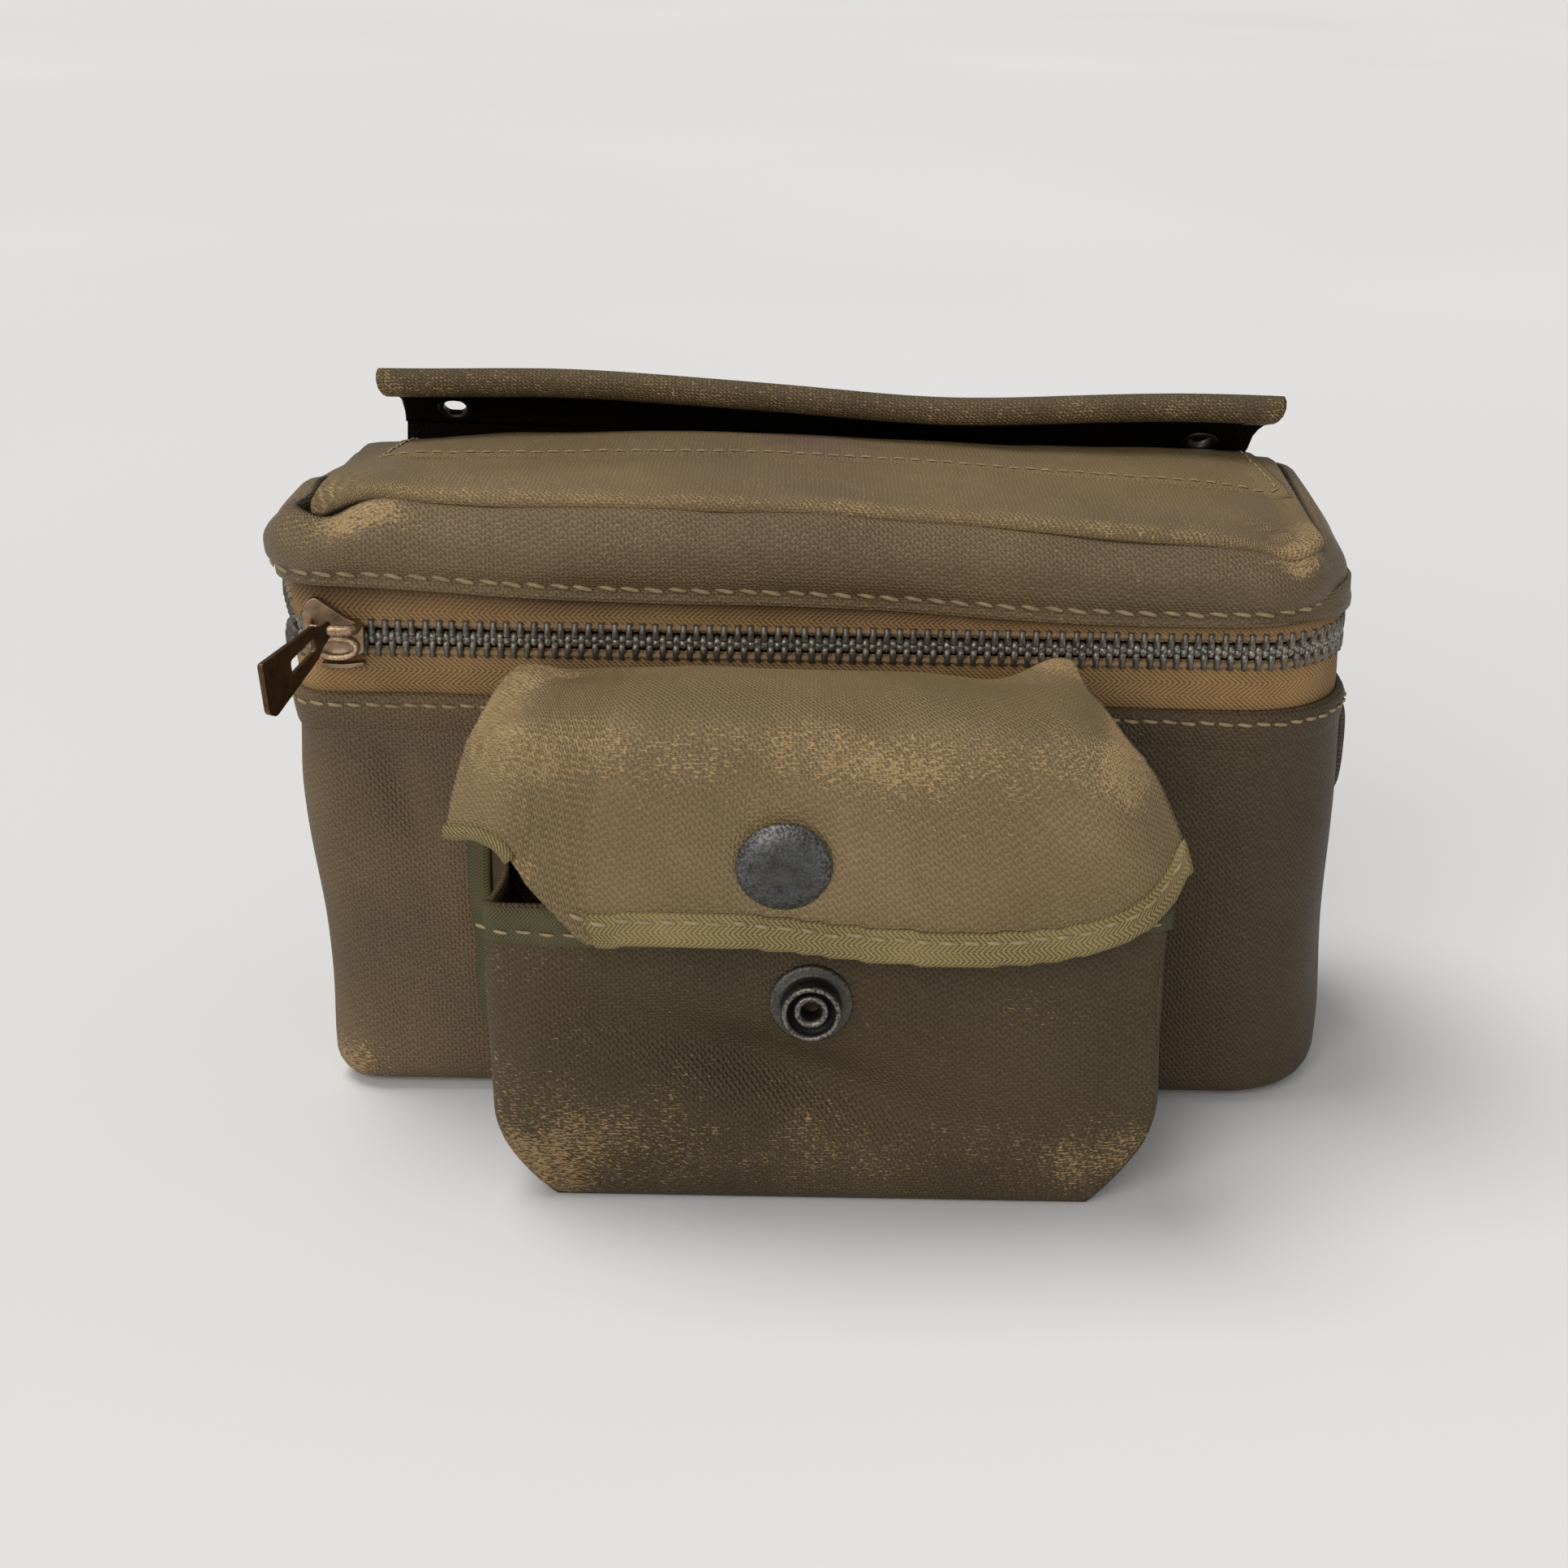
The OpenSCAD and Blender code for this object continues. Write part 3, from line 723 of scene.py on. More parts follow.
def body_wall():
    """The body's outer shell from hem to base, rounded at the foot, with the base closed under it."""
    rows = []
    foot = 5.5
    # Rolled in further than this, the smallest corner of the plan would cross itself
    most_in = -5.6
    for z in [0.05, 0.5, 1.2, 2.2, 3.5, 5.0, *np.linspace(7, BODY_H - 0.5, 44)]:
        roll = foot - math.sqrt(max(foot**2 - max(foot - z, 0) ** 2, 0))
        lean = 1.3 * math.sqrt(max(1 - z / BODY_H, 0))
        rows.append(ring(np.maximum(body_sag(z) - roll, most_in), z, (lean, 0)))
    p = np.array(rows)
    slack = smooth(p[..., 2], 3, 16) * (1 - smooth(p[..., 2], 56, 72))
    dent = ripple(p, 34.0, 3.1) * 0.9 + ripple(p * np.array([1, 1, 0.45]), 17.0, 8.4) * 0.5
    lean_x = p[..., 0] + 0.3 * (p[..., 2] - 60)
    dent = dent - 1.5 * bump(lean_x, -73, 3.2) * bump(p[..., 2], 58, 11) * (p[..., 1] < -20)
    dent = dent - 1.0 * bump(lean_x, -66, 2.6) * bump(p[..., 2], 22, 14) * (p[..., 1] < -20)
    p = p + grid_normals(p, True) * (dent * slack)[..., None]
    base = np.array([p[0] * [share, share, 1] for share in (0.06, 0.35, 0.7, 0.9)])
    p = np.concatenate([base, p])
    x, y, z = p[..., 0], p[..., 1], p[..., 2]
    corner = bump(x, -84, 7) * smooth(-y, 15, 30) * bump(z, 3, 8)
    wear = 0.85 * corner + 0.25 * bump(z, 4, 5) + 0.2 * bump(x, -66, 8) * bump(z, 63, 9)
    obj = cloth("body_shell", p, CANVAS_BODY_SHADED, wrap=True, close_start=True, wear=wear)
    return obj


def body_hem():
    """The turned top edge of the body: it grows out of the wall, rolls over and goes down inside."""
    profile = [(-0.5, -7.6), (0.15, -6.2), (0.55, -4.2), (0.8, -2.4), (0.8, -1.0), (0.5, -0.2), (-0.1, 0.15),
               (-0.8, 0.0), (-1.25, -0.7), (-1.35, -2.5)]
    drop = 0.9 * smooth(PLAN[:, 0], 20, 80)
    p = np.array([ring(grow, BODY_H + rise - drop) for grow, rise in profile])
    p[..., 2] += 0.25 * ripple(p, 22.0, 5.0)
    wear = 0.3 * bump(np.arange(len(profile))[:, None], 5, 1.6)
    obj = cloth("body_hem", p, CANVAS_BODY_SHADED, thick=0.35, wrap=True, wear=wear)
    sewn = stitches("hem_stitches", closed(ring(0.85, BODY_H - 1.7 - drop)), closed(outward(0.0)), THREAD)
    return obj, sewn


def tape_columns():
    """Columns of the zip's tape, inside the outline, from one end of the rear strip round to the other."""
    keep = ~((np.abs(PLAN[:, 0]) < STRIP_HALF) & (PLAN[:, 1] > 0))
    start = int(np.argmax(keep))
    return np.arange(start, start + int(keep.sum()))


def zip_tape(name, z_far, side, far_in):
    """One side of the zip's woven tape: side is 1 above the teeth and -1 below.

    It runs from where it is sewn in, at a height and a distance inside the outline, to just short of the
    teeth. Behind the zip's ends the two tapes meet.
    """
    steps = 9
    cols = tape_columns()
    x, y = PLAN[cols, 0], PLAN[cols, 1]
    shut = smooth(y, ZIP_END_Y - 0.5, ZIP_END_Y + 1.5)
    z_near = ZIP_Z + side * TAPE_SHORT
    near = (z_near + side * open_gap(x, y)) * (1 - shut) + (ZIP_Z + side * 0.08) * shut
    far = z_far[cols]
    rows = []
    for t in np.linspace(0, 1, steps):
        inset = far_in + 0.25 * t - 0.35 * math.sin(math.pi * t)
        xy = PLAN[cols] - OUT[cols] * inset
        xy[:, 0] -= side_bow(x, y) * t
        rows.append(np.column_stack([xy, far + (near - far) * t]))
    p = np.array(rows)
    p += grid_normals(p, False) * (0.22 * ripple(p, 14.0, 2.0))[..., None]
    dark = 0.0
    if side > 0:
        p = p[::-1]
        # Painted shadow of the lid's rim: the upper tape darkens from its top rows down, as a negative wear
        # mark
        dark = -smooth(np.arange(steps), 0.5, 5.5)[:, None] * (0.9 + 0.3 * ripple(p, 30.0, 3.0))
    return cloth(name, p, TAPE, thick=0.6, wear=dark)


def tape_cord(name, side):
    """The tan cord that shows between the feet of the teeth."""
    count = TEETH * 4
    path, radii = [], []
    for i in range(count):
        s = ZIP_LEN * i / (count - 1)
        x, y, _ = zip_point(min(s, ZIP_LEN - 0.01))
        path.append((x, y, ZIP_Z + side * (2.45 + float(open_gap(x, y)))))
        radii.append(0.62 + 0.12 * math.sin(TAU * s / PITCH * 2))
    return tube(name, path, (0, 0, 1), radii, CORD, sides=8, wide=1.35)


def tooth_shape():
    """One tooth with its foot clamped on the cord and a rounded hook at its head, pointing up."""
    leg, leg_faces = stack([(-3.2, 0.44, 0.85), (-3.05, 0.56, 1.08), (-1.6, 0.58, 1.15), (-0.75, 0.58, 1.15),
                            (-0.35, 0.46, 0.95)])
    head, head_faces = stack([(-0.6, 0.38, 0.6), (-0.25, 0.56, 0.85), (0.35, 0.64, 0.95), (0.85, 0.5, 0.78),
                              (1.15, 0.24, 0.4)])
    verts = np.concatenate([leg, head])
    faces = leg_faces + [tuple(i + len(leg) for i in face) for face in head_faces]
    shine = np.where(verts[:, 2] > -0.9, 1.0, 0.25)
    return verts, faces, shine


def tooth_row(name, side):
    """One row of teeth. Those on the open left side, away from the slider, are hardly polished."""
    shape, shape_faces, shine = tooth_shape()
    first = 1 if side > 0 else 0.5
    verts, faces, wear = [], [], []
    for i in range(TEETH):
        x, y, turn = zip_point((i + first) * PITCH)
        a = math.radians(turn)
        nod = 0.035 * math.sin(i * 1.7)
        p = shape * [1, 1, -side]
        p = np.column_stack([p[:, 0] + nod * p[:, 2], p[:, 1], p[:, 2]])
        ahead = p[:, 0] * math.cos(a) - p[:, 1] * math.sin(a)
        across = p[:, 0] * math.sin(a) + p[:, 1] * math.cos(a)
        spun = np.column_stack([ahead, across, p[:, 2]]) + [x, y, ZIP_Z + side * float(open_gap(x, y))]
        base = len(verts) * len(shape)
        verts.append(spun)
        faces.extend(tuple(j + base for j in (f if side < 0 else f[::-1])) for f in shape_faces)
        wear.append(shine * (0.1 if (i + first) * PITCH < SIDE_L else 1.0))
    return mesh_object(name, np.concatenate(verts), faces, GUNMETAL, wear=np.concatenate(wear))


def rear_strip():
    """The cloth hinge at the rear, from inside the body up into the lid."""
    xs = np.linspace(STRIP_HALF, -STRIP_HALF, 60)
    rows = []
    for z in [*np.linspace(68, 82, 8), *np.linspace(82.6, 86.6, 9), *np.linspace(87.5, 91.5, 4)]:
        rows.append(points_of(xs, 31.9 + 0.5 * bump(z, 84.4, 2.0), z))
    obj = cloth("rear_strip", np.array(rows), CANVAS_BODY_SHADED, thick=0.8)
    return obj


def build_body():
    shell = body_wall()
    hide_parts("wall_band", "base_panel")
    hem, hem_line = body_hem()
    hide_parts("top_hem")
    lower = zip_tape("lower_tape", np.full(len(PLAN), TAPE_SEAM_Z), -1, 1.15)
    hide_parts("lower_zip_tape")
    cord = tape_cord("lower_cord", -1)
    teeth = tooth_row("lower_teeth", -1)
    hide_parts("lower_zip_teeth")
    for piece in (shell, hem, hem_line, lower, cord, teeth):
        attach(piece, "bag")
    strip = rear_strip()
    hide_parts("hinge_strip", "lid_skirt")
    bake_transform(strip)


# ---- lid ----


def rim_height(x, y):
    """Height of the lid's lower edge, which droops to the right along the front and is level at the rear."""
    front = 0.8 + knots(x, (-97, 93.6), (-80, 93.0), (-50, 91.2), (-30, 90.7), (-8, 90.6), (12, 90.0),
                        (30, 88.9), (46, 88.3), (64, 88.2), (94, 89.0))
    rear = 88.9 - 0.006 * x
    return rear + (front - rear) * smooth(-y, -30, 34)


def crease_height(x, y):
    """Height of the top edge of the lid's wall."""
    front = knots(x, (-97, 105.4), (-84, 106.2), (-70, 107.0), (-50, 106.5), (-8, 106.2), (12, 105.3),
                  (30, 104.4), (46, 103.0), (62, 101.9), (80, 100.0), (94, 99.0))
    front = front + 0.9 * bump(x, -74, 5) - 1.5 * bump(x, -83, 3.5)
    front = front - 1.2 * bump(x, 77, 3) + 0.9 * bump(x, 82.5, 3)
    rear = 103.6 - 1.4 * smooth(-np.asarray(x, float), 56, 86) - 0.6 * smooth(x, 60, 86)
    return rear + (front - rear) * smooth(-y, -30, 26) + 2.3 * bump(x, -90, 7) * bump(y, -19, 9)


def lid_spread():
    """How much further out than the body the rim stands, all the way round."""
    x, y = PLAN[:, 0], PLAN[:, 1]
    left = smooth(-x, 60, 88) * (0.7 + 0.7 * smooth(-y, -16, 22))
    return 1.1 + left - 1.9 * smooth(x, 66, 88)


def lid_wall():
    """The lid's side: from inside the rim, round its rolled edge and up the plump wall into the crease."""
    x, y = PLAN[:, 0], PLAN[:, 1]
    spread = lid_spread()
    left = smooth(-x, 70, 90)
    front = smooth(-y, 24, 33)
    puff = 0.8 + 1.3 * front + 1.5 * left * smooth(-y, -20, 24)
    rim = rim_height(x, y)
    # Inner face and rolled edge: place off the outline, share of the outer face's spread, height over the rim
    edge = [(-1.0, 0.00, 4.2), (-0.9, 0.10, 1.6), (-0.5, 0.35, 0.5), (0.0, 0.70, -0.1), (0.0, 0.95, 0.15),
            (0.0, 1.0, 1.0)]
    rows = []
    for fixed, share, rise in edge:
        rows.append(ring(fixed * (1 - share) + spread * share, rim + rise))
    low, high = rim + 1.0, crease_height(x, y)
    inset = -6.0 + 3.2 * front + 1.6 * left * smooth(-y, -20, 20)
    for t in np.linspace(0.06, 1, 20):
        lean = spread + (inset - spread) * t**2.6
        swell = puff * math.sin(math.pi * t) ** 0.8
        pinch = -1.0 * bump(t, 0.03, 0.12)
        height = low + (high - low) * (1 - (1 - t) ** 1.25) + 0.8 * bump(t, 0.88, 0.10)
        rows.append(ring(lean + swell + pinch, height))
    # Over into the crease and in under the top panel
    for further, fall in ((0.7, 1.4), (0.5, 3.0), (4.6, 3.6)):
        rows.append(ring(inset - further, high - fall))
    p = np.array(rows)
    row = np.arange(len(rows))[:, None]
    waves = ripple(p * np.array([1, 1, 0.5]), 26.0, 1.7) * 0.8 + ripple(p, 11.0, 4.2) * 0.22
    p = p + grid_normals(p, True) * (waves * smooth(row, 6, 12) * (1 - smooth(row, 24, 27)))[..., None]
    ear = bump(x, -78, 10) * smooth(-y, 14, 30)
    ear_right = bump(x, 80, 7) * smooth(-y, 14, 28)
    wear = 1.0 * ear[None] * bump(row, 21, 4.5) + 1.1 * ear_right[None] * bump(row, 22, 4)
    wear = wear + 0.42 * bump(row, 4.5, 2.0) + 0.16 * bump(row, 22, 3) * front[None]
    wear = wear + 0.1 * smooth(row, 8, 12)
    # Painted shade: the rows that run over into the crease are darkened as a negative wear mark
    wear = np.where(row > 24.5, -1.0, wear)
    obj = cloth("lid_side", p, CANVAS_LID, thick=0.9, wrap=True, wear=wear)
    line = line_on(p, rim + 2.5)
    sewn = stitches("rim_stitches", closed(line), closed(outward(0.15)), THREAD,
                    stitch=3.4, gap=0.5, width=0.36, slant=0.7, lift=0.02)
    return obj, sewn


def line_on(p, height):
    """The ring where the outer face of a ring-shaped grid passes a height."""
    out = []
    for j in range(p.shape[1]):
        column = p[4:18, j]
        out.append([np.interp(height[j], column[:, 2], column[:, k]) for k in range(3)])
    return np.array(out)


def rounded_depth(x, y, half_x, half_y, radii):
    """How far a point lies inside a rectangle with rounded corners.

    The radii are those of its front left, front right, rear right and rear left corner.
    """
    r = np.where(y < 0, np.where(x < 0, radii[0], radii[1]), np.where(x < 0, radii[3], radii[2]))
    qx = np.abs(x) - half_x + r
    qy = np.abs(y) - half_y + r
    out = np.minimum(np.maximum(qx, qy), 0) + np.hypot(np.maximum(qx, 0), np.maximum(qy, 0)) - r
    return -out


def dense_ends(half, edge, step):
    """Places from -half to half, closer together within edge of the ends."""
    near = half - edge + edge * np.sin(np.linspace(0, 1, 9) * math.pi / 2)
    count = int(2 * (half - edge) / step)
    middle = np.linspace(-(half - edge), half - edge, count)
    return np.concatenate([-near[::-1], middle[1:-1], near])


def top_height(x, y):
    """Height of the lid's top panel away from its rolled edges."""
    ridge = crease_height(x, y) + 1.7 + 0.5 * smooth(-np.asarray(y, float), 10, 26)
    crown = 0.9 * (1 - (np.asarray(y, float) / 34) ** 2) * (1 - (np.asarray(x, float) / 92) ** 4)
    wave = 1.9 * bump(x, -22, 34) * bump(y, 15, 12) - 0.5 * bump(x, 45, 25) * bump(y, 14, 18)
    return ridge + crown + wave - 1.2 * smooth(y, 21, 30)


# The top panel: half its width and depth, its shift to the left, its corner radii as in rounded_depth, the
# radius of its rolled edge, how far past upright that edge tucks under, and the share of its depth that the
# rear half keeps
TOP_X = 84.9
TOP_Y = 31.3
TOP_SHIFT = -1.5
TOP_R = (2.6, 9.0, 8.5, 8.5)
TOP_ROLL = 1.9
TUCK = math.radians(65)
REAR_SHARE = 0.965


def cut_corner(y, radius):
    """How far a rounded corner of the top panel cuts into the row at y."""
    return radius - math.sqrt(max(radius**2 - max(abs(y) - TOP_Y + radius, 0) ** 2, 0))


def lid_top():
    """The lid's top panel: one crowned sheet whose edges roll down into the crease."""
    across = dense_ends(1.0, 0.055, 0.02)
    front_left, front_right, rear_right, rear_left = TOP_R
    rows = []
    for y in dense_ends(1.0, 0.16, 0.045) * TOP_Y:
        left = cut_corner(y, front_left if y < 0 else rear_left) - TOP_X
        right = TOP_X - cut_corner(y, front_right if y < 0 else rear_right)
        rows.append(points_of(np.interp(across, (-1, 1), (left, right)) + TOP_SHIFT, y, 0.0))
    p = np.array(rows)
    x, y = p[..., 0] - TOP_SHIFT, p[..., 1]
    depth = np.clip(rounded_depth(x, y, TOP_X, TOP_Y, TOP_R), 0, None)
    run = TOP_ROLL * (math.pi / 2 + TUCK)
    turn = np.clip(depth / TOP_ROLL, 0, run / TOP_ROLL) - TUCK
    # Points on the rolled edge are pushed outwards, against the slope of the depth, and so are those near it
    rolled = TOP_ROLL * (np.cos(turn) - 1) + depth
    push = np.where(depth < run, rolled, (run - TOP_ROLL) * (1 - smooth(depth, run, run + 14))) * (depth < 24)
    nudge = 0.1
    slope_x = rounded_depth(x + nudge, y, TOP_X, TOP_Y, TOP_R) - depth
    slope_y = rounded_depth(x, y + nudge, TOP_X, TOP_Y, TOP_R) - depth
    size = np.maximum(np.hypot(slope_x, slope_y), 1e-6)
    p[..., 0] -= slope_x / size * push
    p[..., 1] -= slope_y / size * push
    p[..., 2] = top_height(x, y) - TOP_ROLL * (1 - np.sin(np.minimum(turn, math.pi / 2)))
    p[..., 1] = np.where(p[..., 1] > 0, p[..., 1] * REAR_SHARE, p[..., 1])
    p[..., 2] += 0.35 * ripple(p, 21.0, 6.6) * smooth(depth, 2, 8)
    front_roll = bump(depth, 4.0, 3.2) * smooth(-y, 12, 24)
    wear = 0.55 * front_roll + 0.30 * bump(y, -20, 7) + 0.12
    wear = wear + 0.35 * bump(x, 80, 5) * smooth(-y, 0, 20) + 0.1 * bump(x, -76, 8)
    # Painted shade: where the edge rolls down into the crease it is darkened as a negative wear mark
    wear = np.where(depth < 1.5, -1.0, wear)
    obj = cloth("lid_panel", p, CANVAS_TOP, thick=1.0, wear=wear)
    # The back of the sheet, seen when the lid is open, is the body's canvas, without the stain and with its
    # painted shade
    obj.data.materials.append(CANVAS_BODY_SHADED)
    count = len(obj.data.vertices) // 2
    for polygon in obj.data.polygons:
        polygon.material_index = int(min(polygon.vertices) >= count)
    return obj


def upper_tape():
    x, y = PLAN[:, 0], PLAN[:, 1]
    return zip_tape("upper_tape", rim_height(x, y) + 4.6, 1, 0.95)


PATCH_REAR_Y = 29.0


def hanger_base():
    """The reinforcing patch under the hanger's root, lying on the top panel, and its stitch line."""
    across = np.linspace(0, 1, 90)
    rows = []
    for t in np.linspace(0, 1, 12):
        left, right = -81.5 + 3.5 * t, 82.0 - 4.0 * t
        x = left + (right - left) * across
        front = -2.4 + 3.0 * bump(x, 0, 50) - 2.0 * smooth(-x, 40, 80)
        y = front + (PATCH_REAR_Y - front) * t
        rows.append(points_of(x, y, top_height(x, y) + 0.45 - 0.55 * bump(t, 0, 0.06)))
    p = np.array(rows)
    p[..., 2] += 0.12 * ripple(p, 13.0, 9.0)
    obj = cloth("hanger_patch", p, CANVAS_TOP, thick=0.5, wear=0.12)
    edge = np.concatenate([p[1:11, 1][::-1], p[1, 2:-2], p[1:11, -2]])
    sewn = stitches("patch_stitches", edge + [0, 0, 0.05], (0.0, -0.2, 1.0), THREAD,
                    stitch=2.0, gap=0.9, width=0.2, slant=0.1, lift=0.05)
    return obj, sewn


def build_lid():
    side, side_line = lid_wall()
    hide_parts("lid_wall", "lid_facing")
    panel = lid_top()
    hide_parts("lid_top")
    tape = upper_tape()
    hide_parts("upper_zip_tape")
    cord = tape_cord("upper_cord", 1)
    teeth = tooth_row("upper_teeth", 1)
    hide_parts("upper_zip_teeth")
    patch, patch_line = hanger_base()
    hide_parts("hanger_base")
    for piece in (side, side_line, panel, tape, cord, teeth, patch, patch_line):
        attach(piece, "lid")


# ---- hanger ----

# Its fold: place, lean of the flap above it, and the fall of the whole to the right
HANGER_Y = 32.0
HANGER_Z = 105.3
HANGER_LEAN = math.radians(50)
HANGER_FALL = math.radians(1)
HANGER_RUN = 14.6
EYELET_X = 70.0
EYELET_UP = 3.5
EYELET_R = 2.2
# At its left end the web bows out this far, and the left eyelet turns with it
WEB_BOW = 1.5
WEB_TURN = math.radians(-12)
# Below this height above the fold the underside is painted near black, as the shadow under the flap
SHADOW_UP = 11.8


def hanger_place():
    """The hanger's own frame: X along the fold, Z up the leaning flap."""
    fall = Euler((0, HANGER_FALL, 0)).to_matrix().to_4x4()
    return Matrix.Translation((0, HANGER_Y, HANGER_Z)) @ fall @ Matrix.Rotation(HANGER_LEAN, 4, "X")


def hanger_wave(x, up):
    """How far the flap waves out of its plane, and how far its lip rises and falls."""
    grow = smooth(up, 0, HANGER_RUN)
    out = grow * (0.9 * bump(x, -45, 26) - 1.2 * bump(x, 22, 24) + 0.5 * bump(x, 62, 16))
    rise = grow * (0.8 * bump(x, -52, 22) - 1.1 * bump(x, 18, 26) + 1.4 * smooth(x, 52, 84))
    return out, rise


def hanger_half(up, side):
    """Half width of the flap at a height: the lip is wider than the web."""
    flare = 3.4 if side < 0 else 3.8
    return 79.5 + flare * float(np.clip((up - 6) / 11, 0, 1)) ** 1.2


def hanger_shell():
    """The hanger's outer face: a folded slab with a rolled lip, before the eyelets are cut."""
    # Round its section: place across the flap, height above the fold, share of the web's bow
    profile = [(-0.55, 0.3, 0.0), (-0.55, 1.0, 0.4), (-0.55, 3.0, 0.85), (-0.55, 5.6, 1.0),
               (-0.6, 8.0, 0.7), (-0.9, 10.0, 0.3), (-1.6, 11.6, 0.0), (-2.2, 12.8, 0.0), (-2.5, 14.2, 0.0),
               (-2.2, 15.8, 0.0), (-1.1, 16.8, 0.0), (0.3, 17.0, 0.0), (1.6, 16.5, 0.0), (2.3, 15.3, 0.0),
               (2.3, 13.9, 0.0), (1.8, 12.4, 0.0), (1.2, 10.6, 0.3), (0.7, 8.3, 0.7), (0.55, 5.6, 1.0),
               (0.55, 3.0, 0.85), (0.55, 1.0, 0.4), (0.55, 0.3, 0.0)]
    place = np.array(hanger_place())
    rows = []
    for flat, up, bowed in profile:
        xs = np.interp(np.linspace(-1, 1, 150), (-1, 1), (-hanger_half(up, -1), hanger_half(up, 1)))
        wave, rise = hanger_wave(xs, up)
        out = flat + bowed * WEB_BOW * smooth(-xs, 20, 55)
        local = points_of(xs, out + wave, up + rise)
        rows.append(local @ place[:3, :3].T + place[:3, 3])
    return np.array(rows)


def hanger_flap():
    """The hanger's slab with its two holes, with near-black painted shadow on its underside."""
    p = hanger_shell()
    count = len(p)
    row = np.arange(count)[:, None]
    cols = p.shape[1]
    wear = 0.55 * bump(row, 9, 3.0) * np.ones((1, cols))
    wear[:, :4] += 0.3
    wear[:, -4:] += 0.3
    verts = p.reshape(-1, 3)
    u, v = grid_uv(p, False)
    faces, uvs = [], []
    for i in range(count):
        k = (i + 1) % count
        top = v[k] if k else v[-1] + 2.5
        for j in range(cols - 1):
            faces.append((i * cols + j, i * cols + j + 1, k * cols + j + 1, k * cols + j))
            uvs += [(u[j], v[i]), (u[j + 1], v[i]), (u[j + 1], top), (u[j], top)]
    for j, order in ((0, 1), (cols - 1, -1)):
        end = [i * cols + j for i in range(count)][::order]
        faces.append(tuple(end))
        uvs += [tuple(p[i, j, 1:]) for i in range(count)[::order]]
    obj = mesh_object("hanger_slab", verts, faces, CANVAS_HANGER, uvs, wear)
    place = hanger_place()
    hole = EYELET_R + 0.3
    for side in (-1, 1):
        drill = lathe("drill", [(0, -6), (hole, -6), (hole, 6), (0, 6)], CANVAS, eyelet_place(side), sides=40)
        cut = obj.modifiers.new("eyelet", "BOOLEAN")
        cut.object = drill
        cut.operation = "DIFFERENCE"
        cut.solver = "EXACT"
        frozen(obj)
        bpy.data.objects.remove(drill)
    for polygon in obj.data.polygons:
        polygon.use_smooth = True
    # The underside below that height gets the near-black cloth as painted shadow
    obj.data.materials.append(PAINTED_SHADOW_CLOTH)
    under = -(place.to_3x3() @ Vector((0, 1, 0)))
    for polygon in obj.data.polygons:
        low = (place.inverted() @ (polygon.center / MM))[2] < SHADOW_UP
        if low and polygon.normal.dot(under) > 0.5:
            polygon.material_index = 1
    return obj


def eyelet_place(side):
    bowed = WEB_BOW if side < 0 else 0.0
    turn = WEB_TURN if side < 0 else 0.0
    at = Matrix.Translation((side * EYELET_X, bowed, EYELET_UP))
    return hanger_place() @ at @ Matrix.Rotation(math.pi / 2 + turn, 4, "X")


def eyelet(side):
    """A ring with a rolled flange on each face of the web, half the web's thickness from its middle."""
    outer = 3.3
    half = 0.62
    upper = [(EYELET_R + 0.4, half - 0.05), (outer, half - 0.05), (outer, half + 0.05),
             (EYELET_R + 0.8, half + 0.3), (EYELET_R + 0.25, half + 0.25), (EYELET_R, half)]
    profile = [(r, -z) for r, z in upper[::-1]] + upper
    place = eyelet_place(side)
    name = "eyelet_ring_left" if side < 0 else "eyelet_ring_right"
    obj = lathe(name, profile, STUD_METAL, place, sides=48)
    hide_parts("eyelet_left" if side < 0 else "eyelet_right")
    return obj


def hanger_root():
    """The cloth that joins the hanger to the lid: out of the lid's rear seam and up into the fold."""
    place = hanger_place()
    xs = np.linspace(-79.3, 79.3, 60)
    rows = [points_of(xs, y, z) for y, z in zip(np.linspace(30.0, 31.5, 9), np.linspace(95.5, 104.4, 9))]
    for up in (0.2, 0.9, 1.7):
        rows.append(np.array([tuple(place @ Vector((x, 0.75, up))) for x in xs]))
    obj = cloth("hanger_root", np.array(rows), PAINTED_SHADOW_CLOTH, thick=0.8)
    # Only its front, towards the inside of the lid, gets the near-black painted shadow
    obj.data.materials.append(CANVAS_HANGER)
    for polygon in obj.data.polygons:
        polygon.material_index = int(polygon.normal.y > -0.3)
    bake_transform(obj)


def build_hanger():
    slab = hanger_flap()
    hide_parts("hanger_flap")
    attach(slab, "hanger")
    hanger_root()
    for side in (-1, 1):
        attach(eyelet(side), "hanger")


# ---- pocket ----

POCKET_HALF = 54.8
POCKET_Y = -70.5
MOUTH_Z = 52.0
STUD_X = -2.0
STUD_Z = 36.5


def pocket_half(z, side):
    """Half width of the pocket's front at a height: straight, then cut in to a small ear at the floor."""
    z = np.asarray(z, float)
    foot = 43.6 if side < 0 else 44.6
    swell = POCKET_HALF + (-0.9 if side < 0 else 0.9) * smooth(-z, -40, -10) - 0.5
    cut = (1 - np.clip(z / (16.0 if side < 0 else 20.0), 0, 1)) ** 2.0
    return swell + (foot - swell) * cut


